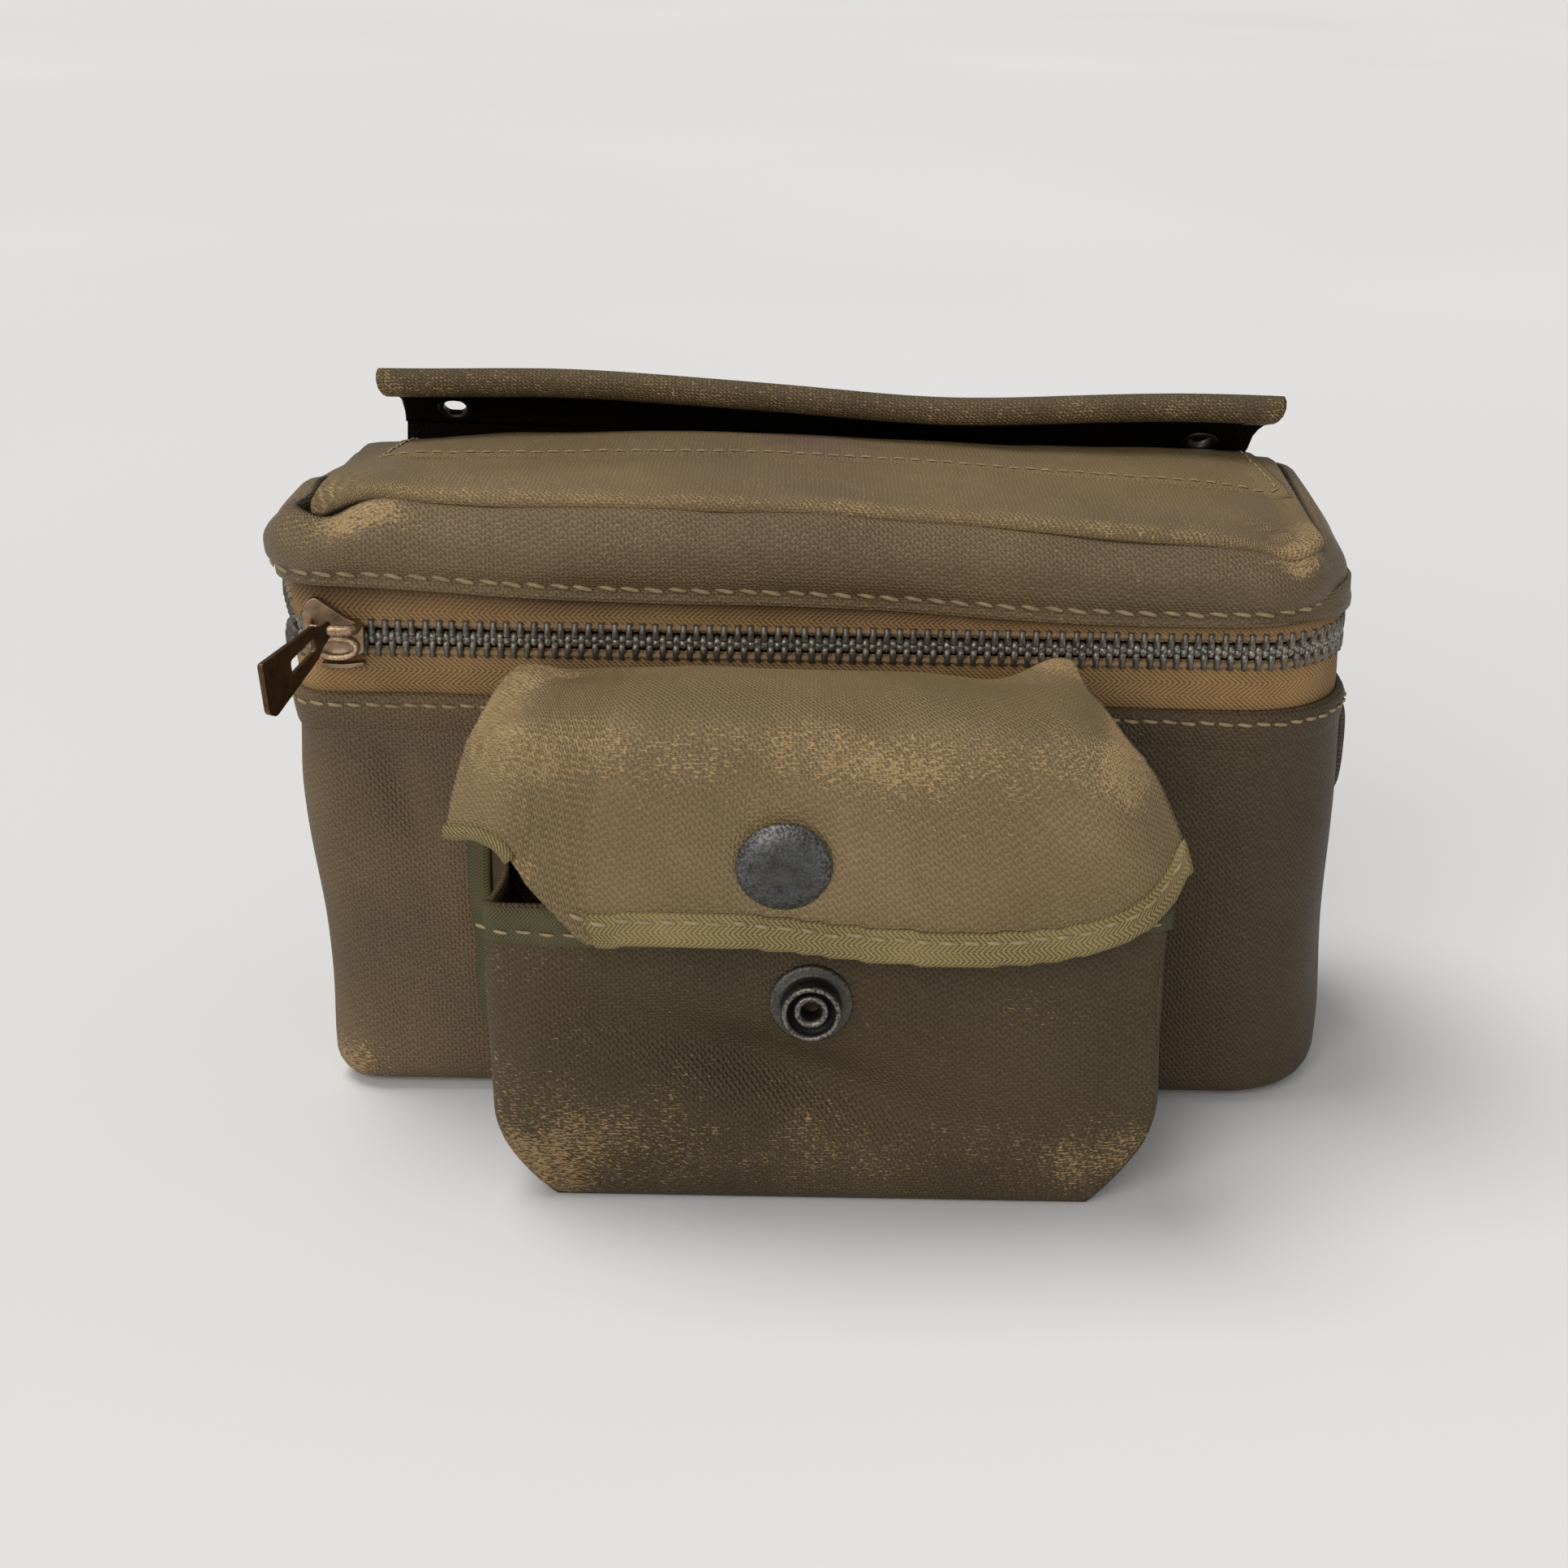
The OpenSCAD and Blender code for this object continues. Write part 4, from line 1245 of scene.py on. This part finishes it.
def pocket_depth(x, z):
    """Y of the pocket's front face: plump, dented below the stud, and rolled at the seams."""
    side_l = pocket_half(z, -1) + x
    side_r = pocket_half(z, 1) - x
    edge = np.minimum(np.minimum(side_l, side_r), 60)
    roll = 1.6 * (1 - np.sqrt(np.clip(1 - (1 - np.clip(edge / 2.6, 0, 1)) ** 2, 0, 1)))
    foot = 1.5 * (1 - np.sqrt(np.clip(1 - (1 - np.clip((z + 0.01) / 2.4, 0, 1)) ** 2, 0, 1)))
    belly = 1.1 * bump(z, 16, 18) * (1 - (np.asarray(x) / 60) ** 4)
    slant = z - 24 + 0.32 * (x + 8)
    dent = 5.6 * np.exp(-((slant / 6.0) ** 2)) * bump(x, -6, 24)
    pull = 0.9 * bump(x, STUD_X, 9) * bump(z, STUD_Z, 9)
    left_roll = 0.9 * bump(x, -46, 7) * bump(z, 30, 16)
    return POCKET_Y + roll + foot - belly + dent + 0.4 - pull * 0.4 - left_roll


def pocket_front():
    """The pocket's stuffed front, worn at its ears and along its lower half."""
    a = dense_ends(1.0, 0.08, 0.026)
    zs = [*(2.6 * (1 - np.cos(np.linspace(0, 1, 6) * math.pi / 2))), *np.linspace(4, MOUTH_Z + 0.4, 42)]
    rows = []
    for z in zs:
        xs = np.interp(a, (-1, 1), (-float(pocket_half(z, -1)), float(pocket_half(z, 1))))
        rows.append(points_of(xs, pocket_depth(xs, z), z + 0.05))
    p = np.array(rows)
    p[..., 1] += 0.35 * ripple(p, 15.0, 2.2) * smooth(p[..., 2], 1, 6)
    x, z = p[..., 0], p[..., 2]
    ears = bump(x, -44, 9) * bump(z, 4, 8) + 0.9 * bump(x, 45, 9) * bump(z, 4, 8)
    wear = 0.5 * ears + 0.42 * bump(z, 9, 8) + 0.22 * bump(z, 20, 12)
    wear = wear + 0.2 * bump(x, -52, 4) + 0.2 * bump(x, -40, 18)
    obj = cloth("pocket_face", p, CANVAS_POCKET_SHADED, thick=1.0, wear=wear)
    return obj


def gusset_outline():
    """The pocket's side view from the front: down the left, along the floor and up the right."""
    zs = MOUTH_Z * (1 - np.linspace(0, 1, 36) ** 0.8)
    left = [(-float(pocket_half(z, -1)) + 0.3, z) for z in zs]
    right = [(float(pocket_half(z, 1)) - 0.3, z) for z in zs[::-1]]
    floor = [(x, 0.0) for x in np.linspace(left[-1][0], right[0][0], 40)[1:-1]]
    return np.array(left + floor + right)


def pocket_gusset():
    """The strip between the pocket's front and the body, and the line where it meets the body."""
    line = gusset_outline()
    x, z = line[:, 0], line[:, 1]
    front, rear = POCKET_Y + 1.0, -HALF_D - 0.2
    splay_l = smooth(-x, 46, 54) * smooth(z, 6, 20)
    splay_r = smooth(x, 46, 54) * smooth(z, 6, 20)
    rows = []
    for t in np.linspace(0, 1, 16):
        y = front + (rear - front) * t
        pinch = 1.8 * math.sin(math.pi * t)
        out = 3.4 * splay_l * t**1.6 - pinch * splay_l
        out_r = 1.6 * splay_r * t**1.6 - pinch * 0.7 * splay_r
        lift = 0.05 + 0.25 * math.sin(math.pi * t)
        rows.append(points_of(x - out + out_r, y, np.maximum(z, lift)))
    p = np.array(rows)[::-1]
    p += grid_normals(p, False) * (0.5 * ripple(p, 14.0, 7.0) * smooth(p[..., 2], 3, 12))[..., None]
    obj = cloth("pocket_side", p, CANVAS_POCKET_SHADED, thick=0.9, wear=0.1)
    return obj, p[0]


def strap_along(name, path, up, half, thick, material):
    """A flat woven strip along a path, reaching half to each side and facing up, worn along its edges."""
    _, side, rise = frames_along(path, up)
    section = [(-1.0, -0.1), (-0.96, 0.6), (-0.8, 0.95), (0.0, 1.0), (0.8, 0.95), (0.96, 0.6), (1.0, -0.1)]
    p = np.array([path + side * (a * half) + rise * (lift * thick) for a, lift in section])
    edge = np.abs(np.linspace(-1, 1, 7))[:, None]
    return cloth(name, p, material, thick=thick * 0.8, wear=0.1 + 0.5 * edge**6)


def mouth_binding():
    """Herringbone tape folded over the pocket's mouth, with its stitches."""
    xs = np.linspace(-POCKET_HALF + 0.2, POCKET_HALF + 0.4, 110)
    profile = [(0.1, -6.2), (-0.35, -5.9), (-0.6, -4.5), (-0.7, -2.5), (-0.6, -0.7), (-0.2, 0.35),
               (0.6, 0.6), (1.4, 0.3), (1.75, -0.8), (1.7, -3.0)]
    face = pocket_depth(xs, MOUTH_Z - 0.6)
    right = smooth(xs, 20, 50)
    sag = 1.4 * right - 0.8 * bump(xs, -34, 14)
    height = 1 - 0.35 * right
    p = np.array([points_of(xs, face + out, MOUTH_Z + rise * height + sag) for out, rise in profile])
    obj = cloth("mouth_tape", p, BINDING_MOUTH, thick=0.35, wear=0.12)
    sewn = stitches("mouth_stitches", p[2] + [0, -0.1, 0.8], (0, -1, 0), THREAD,
                    stitch=2.4, gap=1.3, width=0.26, slant=0.1, lift=0.05)
    return obj, sewn


def gusset_binding(name, foot, mirror):
    """Tape over the raw seam where the gusset meets the body wall."""
    pick = foot[(foot[:, 2] > 9) & ((foot[:, 0] < 0) == (mirror < 0))]
    pick = pick[np.argsort(pick[:, 2])]
    path = resample(pick, 1.5) + [mirror * 1.5, -0.8, 0]
    obj = strap_along(name, path, (mirror * 0.75, -1.0, 0.0), 1.9, 0.9, BINDING_MOUTH)
    return obj


def build_pocket():
    face = pocket_front()
    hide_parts("pocket_front")
    side, foot = pocket_gusset()
    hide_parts("pocket_gusset")
    tape, tape_line = mouth_binding()
    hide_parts("mouth_binding")
    left = gusset_binding("gusset_tape_left", foot, -1)
    right = gusset_binding("gusset_tape_right", foot, 1)
    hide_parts("gusset_bindings")
    for piece in (face, side, tape, tape_line, left, right):
        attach(piece, "bag")


# ---- pocket flap ----

# Middle of the flap, and middle of the cap on its front
FLAP_X = -1.5
CAP_X = -6.75
CAP_Z = 62.4
CAP_R = 7.55


def flap_half(t):
    """Half widths, left and right, of the flap at run t: 0 at its rear, 1 at its lower edge."""
    left = knots(t, (0.0, 49.5), (0.2, 52.0), (0.42, 55.0), (0.6, 57.4), (0.8, 59.6), (1.0, 60.0))
    right = knots(t, (0.0, 41.5), (0.12, 43.5), (0.3, 47.5), (0.5, 53.0), (0.7, 58.0), (0.85, 60.4),
                  (1.0, 60.8))
    return left, right


def flap_edge(x):
    """Height of the flap's lower edge: lowest right of the middle, rising to the wings."""
    return knots(x, (-62, 64.5), (-50, 63.5), (-44, 56.5), (-40, 52.0), (-37, 49.0), (-28, 49.0),
                 (-14, 48.8), (6, 47.0), (22, 46.4), (36, 47.8), (45, 50.8), (51, 54.6), (56, 60.2),
                 (62, 65.0))


# The flap widens along its top, between these places, and then down its front from this height over this fall
REAR_Y = -42.0
TOP_FRONT_Y = -71.5
FRONT_Z = 81.0
FRONT_FALL = 36.0
TOP_SHARE = 0.42


def flap_section(low):
    """Side view of the flap as points: from the body, up over the top and down the front to a height."""
    line = [(-34.4, 69.0), (-34.9, 72.5), (-36.3, 76.5), (-38.6, 80.0), (-41.2, 82.7), (-44.0, 83.8),
            (-50.0, 84.2), (-58.0, 84.3), (-64.0, 84.2), (-68.5, 83.6), (-71.3, 82.2), (-73.0, 79.8),
            (-73.9, 76.5), (-74.6, 72.0), (-75.2, 66.0), (-75.8, 58.0), (-76.2, 50.0), (-76.3, 42.0)]
    points = np.array([(0, y, z) for y, z in line])
    fine = resample(smooth_line(points), 0.5)
    keep = (fine[:, 2] >= low) | (fine[:, 1] > -60)
    return fine[keep]


def smooth_line(points, rounds=3):
    """Corner cutting, so that a coarse line turns evenly."""
    for _ in range(rounds):
        a = points[:-1] * 0.75 + points[1:] * 0.25
        b = points[:-1] * 0.25 + points[1:] * 0.75
        middle = np.stack([a, b], 1).reshape(-1, 3)
        points = np.concatenate([points[:1], middle, points[-1:]])
    return points


def flap_grid():
    """The flap as one sheet, and where each column lies across it, from -1 to 1.

    Columns run across it and rows run from its lower edge back to the body.
    """
    ends = np.array([0.91, 0.94, 0.965, 0.985, 1.0])
    a = np.concatenate([-ends[::-1], np.linspace(-0.88, 0.88, 76), ends])
    rows = 86
    columns = []
    for across in a:
        section = flap_section(float(flap_edge(FLAP_X + across * 57.7)))
        index = np.arange(len(section))
        pick = np.linspace(0, len(section) - 1, rows)
        y, z = np.interp(pick, index, section[:, 1]), np.interp(pick, index, section[:, 2])
        run = np.clip((y - REAR_Y) / (TOP_FRONT_Y - REAR_Y), 0, 1) * TOP_SHARE
        run = run + np.clip((FRONT_Z - z) / FRONT_FALL, 0, 1) * (1 - TOP_SHARE) * (y < -60)
        left, right = flap_half(run)
        columns.append(points_of(np.where(across < 0, across * left, across * right) + FLAP_X, y, z))
    return np.array(columns).transpose(1, 0, 2)[::-1], a


def flap_shape():
    """The flap's sheet with its folded wings, ears and creases."""
    p, a = flap_grid()
    x, y, z = p[..., 0], p[..., 1], p[..., 2]
    over = smooth(-y, 38, 46)
    wing = smooth(np.abs(a), 0.68, 1.05) * over
    turned = wing * wing * (2.4 + 4.6 * smooth(-y, 54, 76)) * np.where(a < 0, 0.9, 1.05)
    # The wings turn in along the face's direction, evened out over some rows so that their fold stays smooth
    facing = grid_normals(p, False)
    facing[..., 0] = 0
    reach = 11
    share = np.hanning(2 * reach + 1)
    share /= share.sum()
    padded = np.pad(facing, ((reach, reach), (0, 0), (0, 0)), mode="edge")
    facing = np.apply_along_axis(lambda line: np.convolve(line, share, "valid"), 0, padded)
    p = p - facing * turned[..., None]
    front = smooth(-p[..., 1], 62, 72)
    ear_l = bump(x, -48.5, 3.8) * bump(y, -47, 7)
    ear_r = bump(x, 38, 5.5) * bump(y, -42.5, 8)
    p[..., 2] += 2.3 * ear_l + 3.2 * ear_r - 1.3 * bump(x, 27, 7) * bump(y, -45, 9)
    p[..., 2] += 0.5 * bump(x, -10, 30) * bump(y, -58, 12)
    crease = bump(y * 0.6 - z * 0.1 + x * 0.25, -46, 2.5) * bump(x, -46, 7)
    p[..., 2] -= 1.6 * crease * over
    puff = 1.4 * bump(x, 4, 34) * bump(z, 66, 13) + 1.2 * bump(x, 42, 11) * bump(z, 66, 12)
    p[..., 1] -= puff * front * (1 - 0.9 * bump(x, CAP_X, 12) * bump(z, CAP_Z, 12))
    pull = 0.9 * bump(x, -42, 8) * bump(z, 70, 9) * front
    p[..., 1] += pull
    loose = ripple(p, 19.0, 5.5) * 0.55 + ripple(p * np.array([0.5, 1, 1]), 9.0, 1.0) * 0.2
    loose *= over * (1 - 0.95 * bump(x, CAP_X, 11) * bump(z, CAP_Z, 11))
    return p + grid_normals(p, False) * loose[..., None]


def flap_wear(p):
    """Wear on the flap's front bend, at its two rear ears and along its folded wings."""
    x, y, z = p[..., 0], p[..., 1], p[..., 2]
    turn = bump(y, -72, 4) * bump(z, 80, 7)
    wear = 0.30 + 0.30 * turn + 0.24 * bump(z, 77, 6)
    corners = [(1.5, (-49, -47, 85), (6, 7, 6)), (1.3, (-53, -60, 82), (4.5, 9, 7)),
               (1.6, (40, -42, 86), (6, 6, 6))]
    for most, at, size in corners:
        wear = wear + most * bump(x, at[0], size[0]) * bump(y, at[1], size[1]) * bump(z, at[2], size[2])
    wear = wear + 0.75 * bump(x, 46.5, 3.5) * smooth(-y, 48, 58) * bump(z, 80, 9)
    scuffs = [(0.30, (-48, 78), (9, 5)), (0.25, (6, 77), (9, 6)), (0.7, (-47, 61), (3.0, 4))]
    for most, at, size in scuffs:
        wear = wear + most * bump(x, at[0], size[0]) * bump(z, at[1], size[1])
    wear = wear - 0.22 * smooth(-z, -64, -50)
    return np.clip(wear, 0, 1)


def flap_tape(p):
    """Herringbone tape sewn over the flap's lower edge, with its stitches and its cut end."""
    first = int(np.argmin(np.abs(p[0, :, 0] + 38.5)))
    edge = p[0, first:]
    up = p[3, first:] - edge
    up = up / np.maximum(np.linalg.norm(up, axis=1, keepdims=True), 1e-9)
    out = grid_normals(p, False)[1, first:]
    # From the front over the edge to the back: rise above the edge and distance in front of it
    profile = [(5.4, 0.15), (5.1, 0.5), (3.6, 0.62), (1.6, 0.68), (0.1, 0.6), (-0.55, 0.0), (-0.5, -0.9),
               (0.2, -1.6), (2.5, -1.75)]
    cut_run, cut_slope = 0.06, 0.35
    slant = np.clip(1 - np.linspace(0, 1, len(edge)) / cut_run, 0, 1)[:, None]
    rows = []
    for rise, lift in profile:
        cut = slant * (profile[0][0] - rise) * cut_slope
        rows.append(edge + up * rise + out * lift + [1, 0, 0] * cut)
    tape = cloth("flap_tape", np.array(rows)[::-1], BINDING, thick=0.3, wear=0.15)
    sewn = stitches("flap_stitches", edge + up * 3.9 + out * 0.62, out, THREAD,
                    stitch=2.5, gap=1.2, width=0.3, slant=0.15, lift=0.05)
    return tape, sewn


def wing_tape(p):
    """The rolled tape along the folded wing at the left."""
    last = int(np.argmin(np.abs(p[0, :, 0] + 49.0)))
    edge = resample(p[0, : last + 1], 0.8)
    tape = tube("wing_tape", edge, (0, -0.3, 1), 1.25, BINDING, sides=10, wide=0.8)
    return tape


def build_flap():
    p = flap_shape()
    sheet = cloth("flap_sheet", p, CANVAS_FLAP_LIT, wear=flap_wear(p))
    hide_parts("pocket_flap", "flap_root")
    tape, line = flap_tape(p)
    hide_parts("flap_binding")
    wing = wing_tape(p)
    for piece in (tape, line, wing):
        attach(piece, "flap")
    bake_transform(sheet)


# ---- snap ----


def on_flap():
    """Frame of the cap: Z looks out of the flap's leaning front."""
    p = flap_shape()
    near = np.hypot(p[..., 0] - CAP_X, p[..., 2] - CAP_Z) + 100 * (p[..., 1] > -60)
    lean = math.atan2(4.2, 37.2)
    y = float(p[..., 1][near < 5].min())
    return Matrix.Translation((CAP_X, y - 0.35, CAP_Z)) @ Matrix.Rotation(math.pi / 2 + lean, 4, "X")


def on_pocket():
    """Frame of the stud: Z looks out of the pocket's front."""
    return Matrix.Translation((STUD_X, POCKET_Y - 0.2, STUD_Z)) @ Matrix.Rotation(math.pi / 2, 4, "X")


def snap_cap():
    """The domed cap, polished round its rim."""
    profile = [(0, 2.45), (1.5, 2.42), (3.0, 2.3), (4.5, 2.05), (5.8, 1.65), (6.8, 1.1), (7.3, 0.6),
               (CAP_R, 0.1), (7.5, -0.2), (6.6, -0.3), (0, -0.3)]
    wear = [0.1, 0.12, 0.15, 0.2, 0.28, 0.5, 0.7, 0.8, 0.3, 0, 0]
    obj = lathe("cap", profile, CAP_METAL, on_flap(), wear=wear)
    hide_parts("snap_cap")
    return obj


def snap_stud():
    """The stud's flange and post, and the eyelet that clamps it to the pocket."""
    profile = [(2.9, 0.0), (6.4, 0.0), (6.75, 0.15), (6.7, 0.5), (6.2, 0.75), (5.2, 0.72), (4.95, 0.9),
               (4.6, 1.6), (4.55, 2.6), (4.75, 3.4), (4.85, 4.0), (4.7, 4.5), (4.3, 4.7), (3.95, 4.55),
               (3.8, 4.0), (3.75, 3.0), (2.9, 2.9)]
    wear = [0, 0.3, 0.6, 0.4, 0.2, 0.1, 0.1, 0.1, 0.1, 0.2, 0.5, 0.7, 0.9, 0.5, 0.1, 0, 0]
    stud = lathe("stud", profile, STUD_METAL, on_pocket(), wear=wear)
    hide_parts("snap_stud")
    tube_profile = [(1.5, -1.2), (2.85, -1.2), (2.85, 3.4), (2.7, 3.75), (2.35, 3.85), (1.9, 3.7),
                    (1.6, 3.2), (1.5, 2.4)]
    inner = lathe("stud_tube", tube_profile, STUD_METAL, on_pocket(), wear=[0, 0, 0.3, 0.7, 0.9, 0.6, 0.2, 0])
    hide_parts("stud_eyelet")
    return stud, inner


def build_snap():
    cap = snap_cap()
    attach(cap, "flap")
    for piece in snap_stud():
        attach(piece, "bag")
    # The socket behind the cap is the CAD's own
    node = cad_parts["snap_socket"]
    node.data.materials.clear()
    node.data.materials.append(STUD_METAL)


# ---- side loop ----


def side_loop():
    """The webbing loop on the right side: sewn flat at both ends, standing off between."""
    line = [(90.9, 70.0), (91.6, 68.0), (92.6, 66.4), (94.8, 65.2), (95.8, 62.5), (96.0, 56.0),
            (95.8, 49.8), (94.8, 47.0), (92.8, 45.8), (91.8, 44.2), (91.4, 42.0)]
    points = np.array([(x, 0, z) for x, z in line])
    path = resample(smooth_line(points), 0.9)
    ys = np.linspace(0.0, 20.0, 13)
    p = np.array([points_of(path[:, 0], y, path[:, 2]) for y in ys]).transpose(1, 0, 2)[::-1]
    obj = cloth("side_webbing", p, WEBBING, thick=1.3, wear=0.1)
    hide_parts("side_loop")
    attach(obj, "bag")


# ---- slider and tab ----


def front_place(x, y, z):
    """A frame whose X runs right, Y runs up and Z looks out of the front."""
    return Matrix.Translation((x, y, z)) @ Matrix.Rotation(math.pi / 2, 4, "X")


# Thickness of the front plate, height of the bail above the middle of the teeth, middle of the ring under
# it, and how far in front of the teeth the tab's eye is
SLIDER_THICK = 1.3
BAIL_UP = 2.8
RING_X = SLIDER_X - 2.2
RING_Z = ZIP_Z - 1.1
TAB_OUT = 5.9


def slider_plates():
    """The slider's front and rear plates and the lip below them, between the rows."""
    shield = [(-7.8, 1.2), (-7.4, 6.4), (-5.6, 7.6), (-3.2, 5.8), (-0.5, 3.9), (1.2, 3.2), (2.4, 2.6),
              (2.4, -2.2), (1.0, -2.5), (-1.6, -2.9), (-4.6, -2.6), (-6.8, -1.0)]
    shield = rounded(shield, 1.2)
    front_y = ROW_Y - 1.5 * SLIDER_THICK
    front = plate("slider_shield", shield, SLIDER_THICK, SLIDER_METAL, front_place(SLIDER_X, front_y, ZIP_Z))
    back = plate("slider_rear", shield, 1.2, SLIDER_METAL, front_place(SLIDER_X, ROW_Y + 1.95, ZIP_Z))
    lower = [(-5.1, -5.0), (-1.0, -5.2), (2.2, -4.6), (2.2, -3.9), (-1.0, -4.3), (-5.1, -4.2)]
    lip = plate("slider_lip", rounded(lower, 0.3), 4.2, SLIDER_METAL, front_place(SLIDER_X, ROW_Y, ZIP_Z),
                bevel=0.2)
    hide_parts("slider_front")
    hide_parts("slider_back")
    return front, back, lip


def slider_bail():
    """The arch on the slider's front that holds the tab."""
    line = [(-4.0, -0.3), (-4.0, -2.4), (-3.2, -3.5), (0.0, -3.7), (3.2, -3.5), (4.0, -2.4), (4.0, -0.3)]
    points = np.array([(SLIDER_X - 2.4 + x, ROW_Y - 2.4 + y, ZIP_Z + BAIL_UP) for x, y in line])
    points = smooth_line(points, 2)
    wear = np.full(len(points), 0.5)
    bail = tube("slider_arch", points, (0, 0, 1), 0.95, SLIDER_METAL, sides=12, wide=0.6, wear=wear)
    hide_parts("slider_bail")
    return bail


def slider_ring():
    """The oval ring under the bail and the small cup that it sits on."""
    turns = np.arange(40) * TAU / 40
    path = points_of(RING_X + 3.3 * np.cos(turns), ROW_Y - 3.0, RING_Z + 1.7 * np.sin(turns))
    wear = np.full(len(path), 0.9)
    circle = tube("slider_ring", path, (0, 1, 0), 0.62, SLIDER_METAL, sides=12, looped=True, wear=wear)
    cup = [(0, 0), (2.6, 0.0), (2.9, 0.3), (3.0, 1.0), (2.6, 1.1), (2.2, 0.7), (0, 0.6)]
    place = front_place(RING_X, ROW_Y - 2.2, RING_Z) @ Matrix.Diagonal((1.05, 0.55, 1.0, 1.0))
    return circle, lathe("slider_boss", cup, SLIDER_METAL, place, sides=32)


def build_slider():
    front, back, lip = slider_plates()
    bail = slider_bail()
    circle, seat = slider_ring()
    for piece in (front, back, bail, circle, seat, lip):
        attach(piece, "slider")


def build_tab():
    turn = Matrix.Rotation(math.radians(-90 - 16), 4, "Z") @ Matrix.Rotation(math.radians(10), 4, "Y")
    eye_at = Matrix.Translation((SLIDER_X - 3.2, ROW_Y - TAB_OUT, ZIP_Z + BAIL_UP))
    place = eye_at @ turn @ Matrix.Rotation(math.pi / 2, 4, "X")
    outline = [(-1.0, -1.3), (-1.0, 1.4), (2.4, 1.9), (4.4, 3.0), (22.6, 5.3), (22.6, -3.6), (20.4, -5.2),
               (4.4, -3.0), (2.4, -1.8)]
    eye = rounded([(-0.5, -0.7), (-0.5, 0.7), (0.9, 0.7), (0.9, -0.7)], 0.3)[::-1]
    slot = rounded([(5.0, -1.2), (13.6, -1.3), (13.6, 1.3), (5.0, 1.2)], 0.7)[::-1]
    tab = plate("tab_plate", rounded(outline, 0.8), 1.0, TAB_METAL, place, holes=[eye, slot], bevel=0.2)
    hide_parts("pull_tab")
    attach(tab, "tab")


# ---- stage ----

# The camera's place in metres, its tilt below level and its roll in degrees, its lens and its sensor in mm
CAMERA_PLACE = (-0.00695, -0.4215, 0.210)
CAMERA_PITCH = 21.2
CAMERA_ROLL = 1.0
CAMERA_LENS = 55.9
SENSOR = 36
WORLD_LIGHT = 0.30


def add_floor():
    bpy.ops.mesh.primitive_plane_add(size=30, location=(0, 0, -0.0003))
    floor = bpy.context.object
    floor.name = "floor"
    n = Nodes("floor_paper")
    place = n.place()
    tone = n.mix(n.ramp(n.noise(place, 1.3, 2.0), 0.35, 0.65), (0.76, 0.76, 0.765), (0.80, 0.80, 0.805))
    floor.data.materials.append(n.finish(tone, 0.9, 0.0, 0.2))


def add_camera():
    data = bpy.data.cameras.new("camera")
    data.sensor_width = SENSOR
    data.lens = CAMERA_LENS
    data.clip_start = 0.01
    camera = bpy.data.objects.new("camera", data)
    bpy.context.scene.collection.objects.link(camera)
    pitch = Matrix.Rotation(math.radians(90 - CAMERA_PITCH), 4, "X")
    roll = Matrix.Rotation(math.radians(CAMERA_ROLL), 4, "Z")
    camera.matrix_world = Matrix.Translation(CAMERA_PLACE) @ pitch @ roll
    bpy.context.scene.camera = camera


def sun(name, toward, power, spread, colour):
    """A soft even light from a direction: spread is how wide its source looks, in degrees."""
    data = bpy.data.lights.new(name, "SUN")
    data.energy = power
    data.angle = math.radians(spread)
    data.color = colour
    obj = bpy.data.objects.new(name, data)
    obj.rotation_euler = Vector(toward).to_track_quat("Z", "Y").to_euler()
    bpy.context.scene.collection.objects.link(obj)


def add_light():
    sun("key", (-0.36, 0.16, 1.0), 1.55, 32, (1.0, 0.985, 0.96))
    sun("fill", (-0.42, -1.0, 0.55), 1.5, 50, (1.0, 0.985, 0.955))
    world = bpy.data.worlds.new("world")
    world.use_nodes = True
    background = world.node_tree.nodes["Background"]
    background.inputs[0].default_value = (1.0, 1.0, 1.0, 1)
    background.inputs[1].default_value = WORLD_LIGHT
    bpy.context.scene.world = world
    bpy.context.scene.view_settings.view_transform = "Standard"


add_camera()
add_light()
add_floor()
build_body()
build_lid()
build_hanger()
build_pocket()
build_flap()
build_snap()
side_loop()
build_slider()
build_tab()
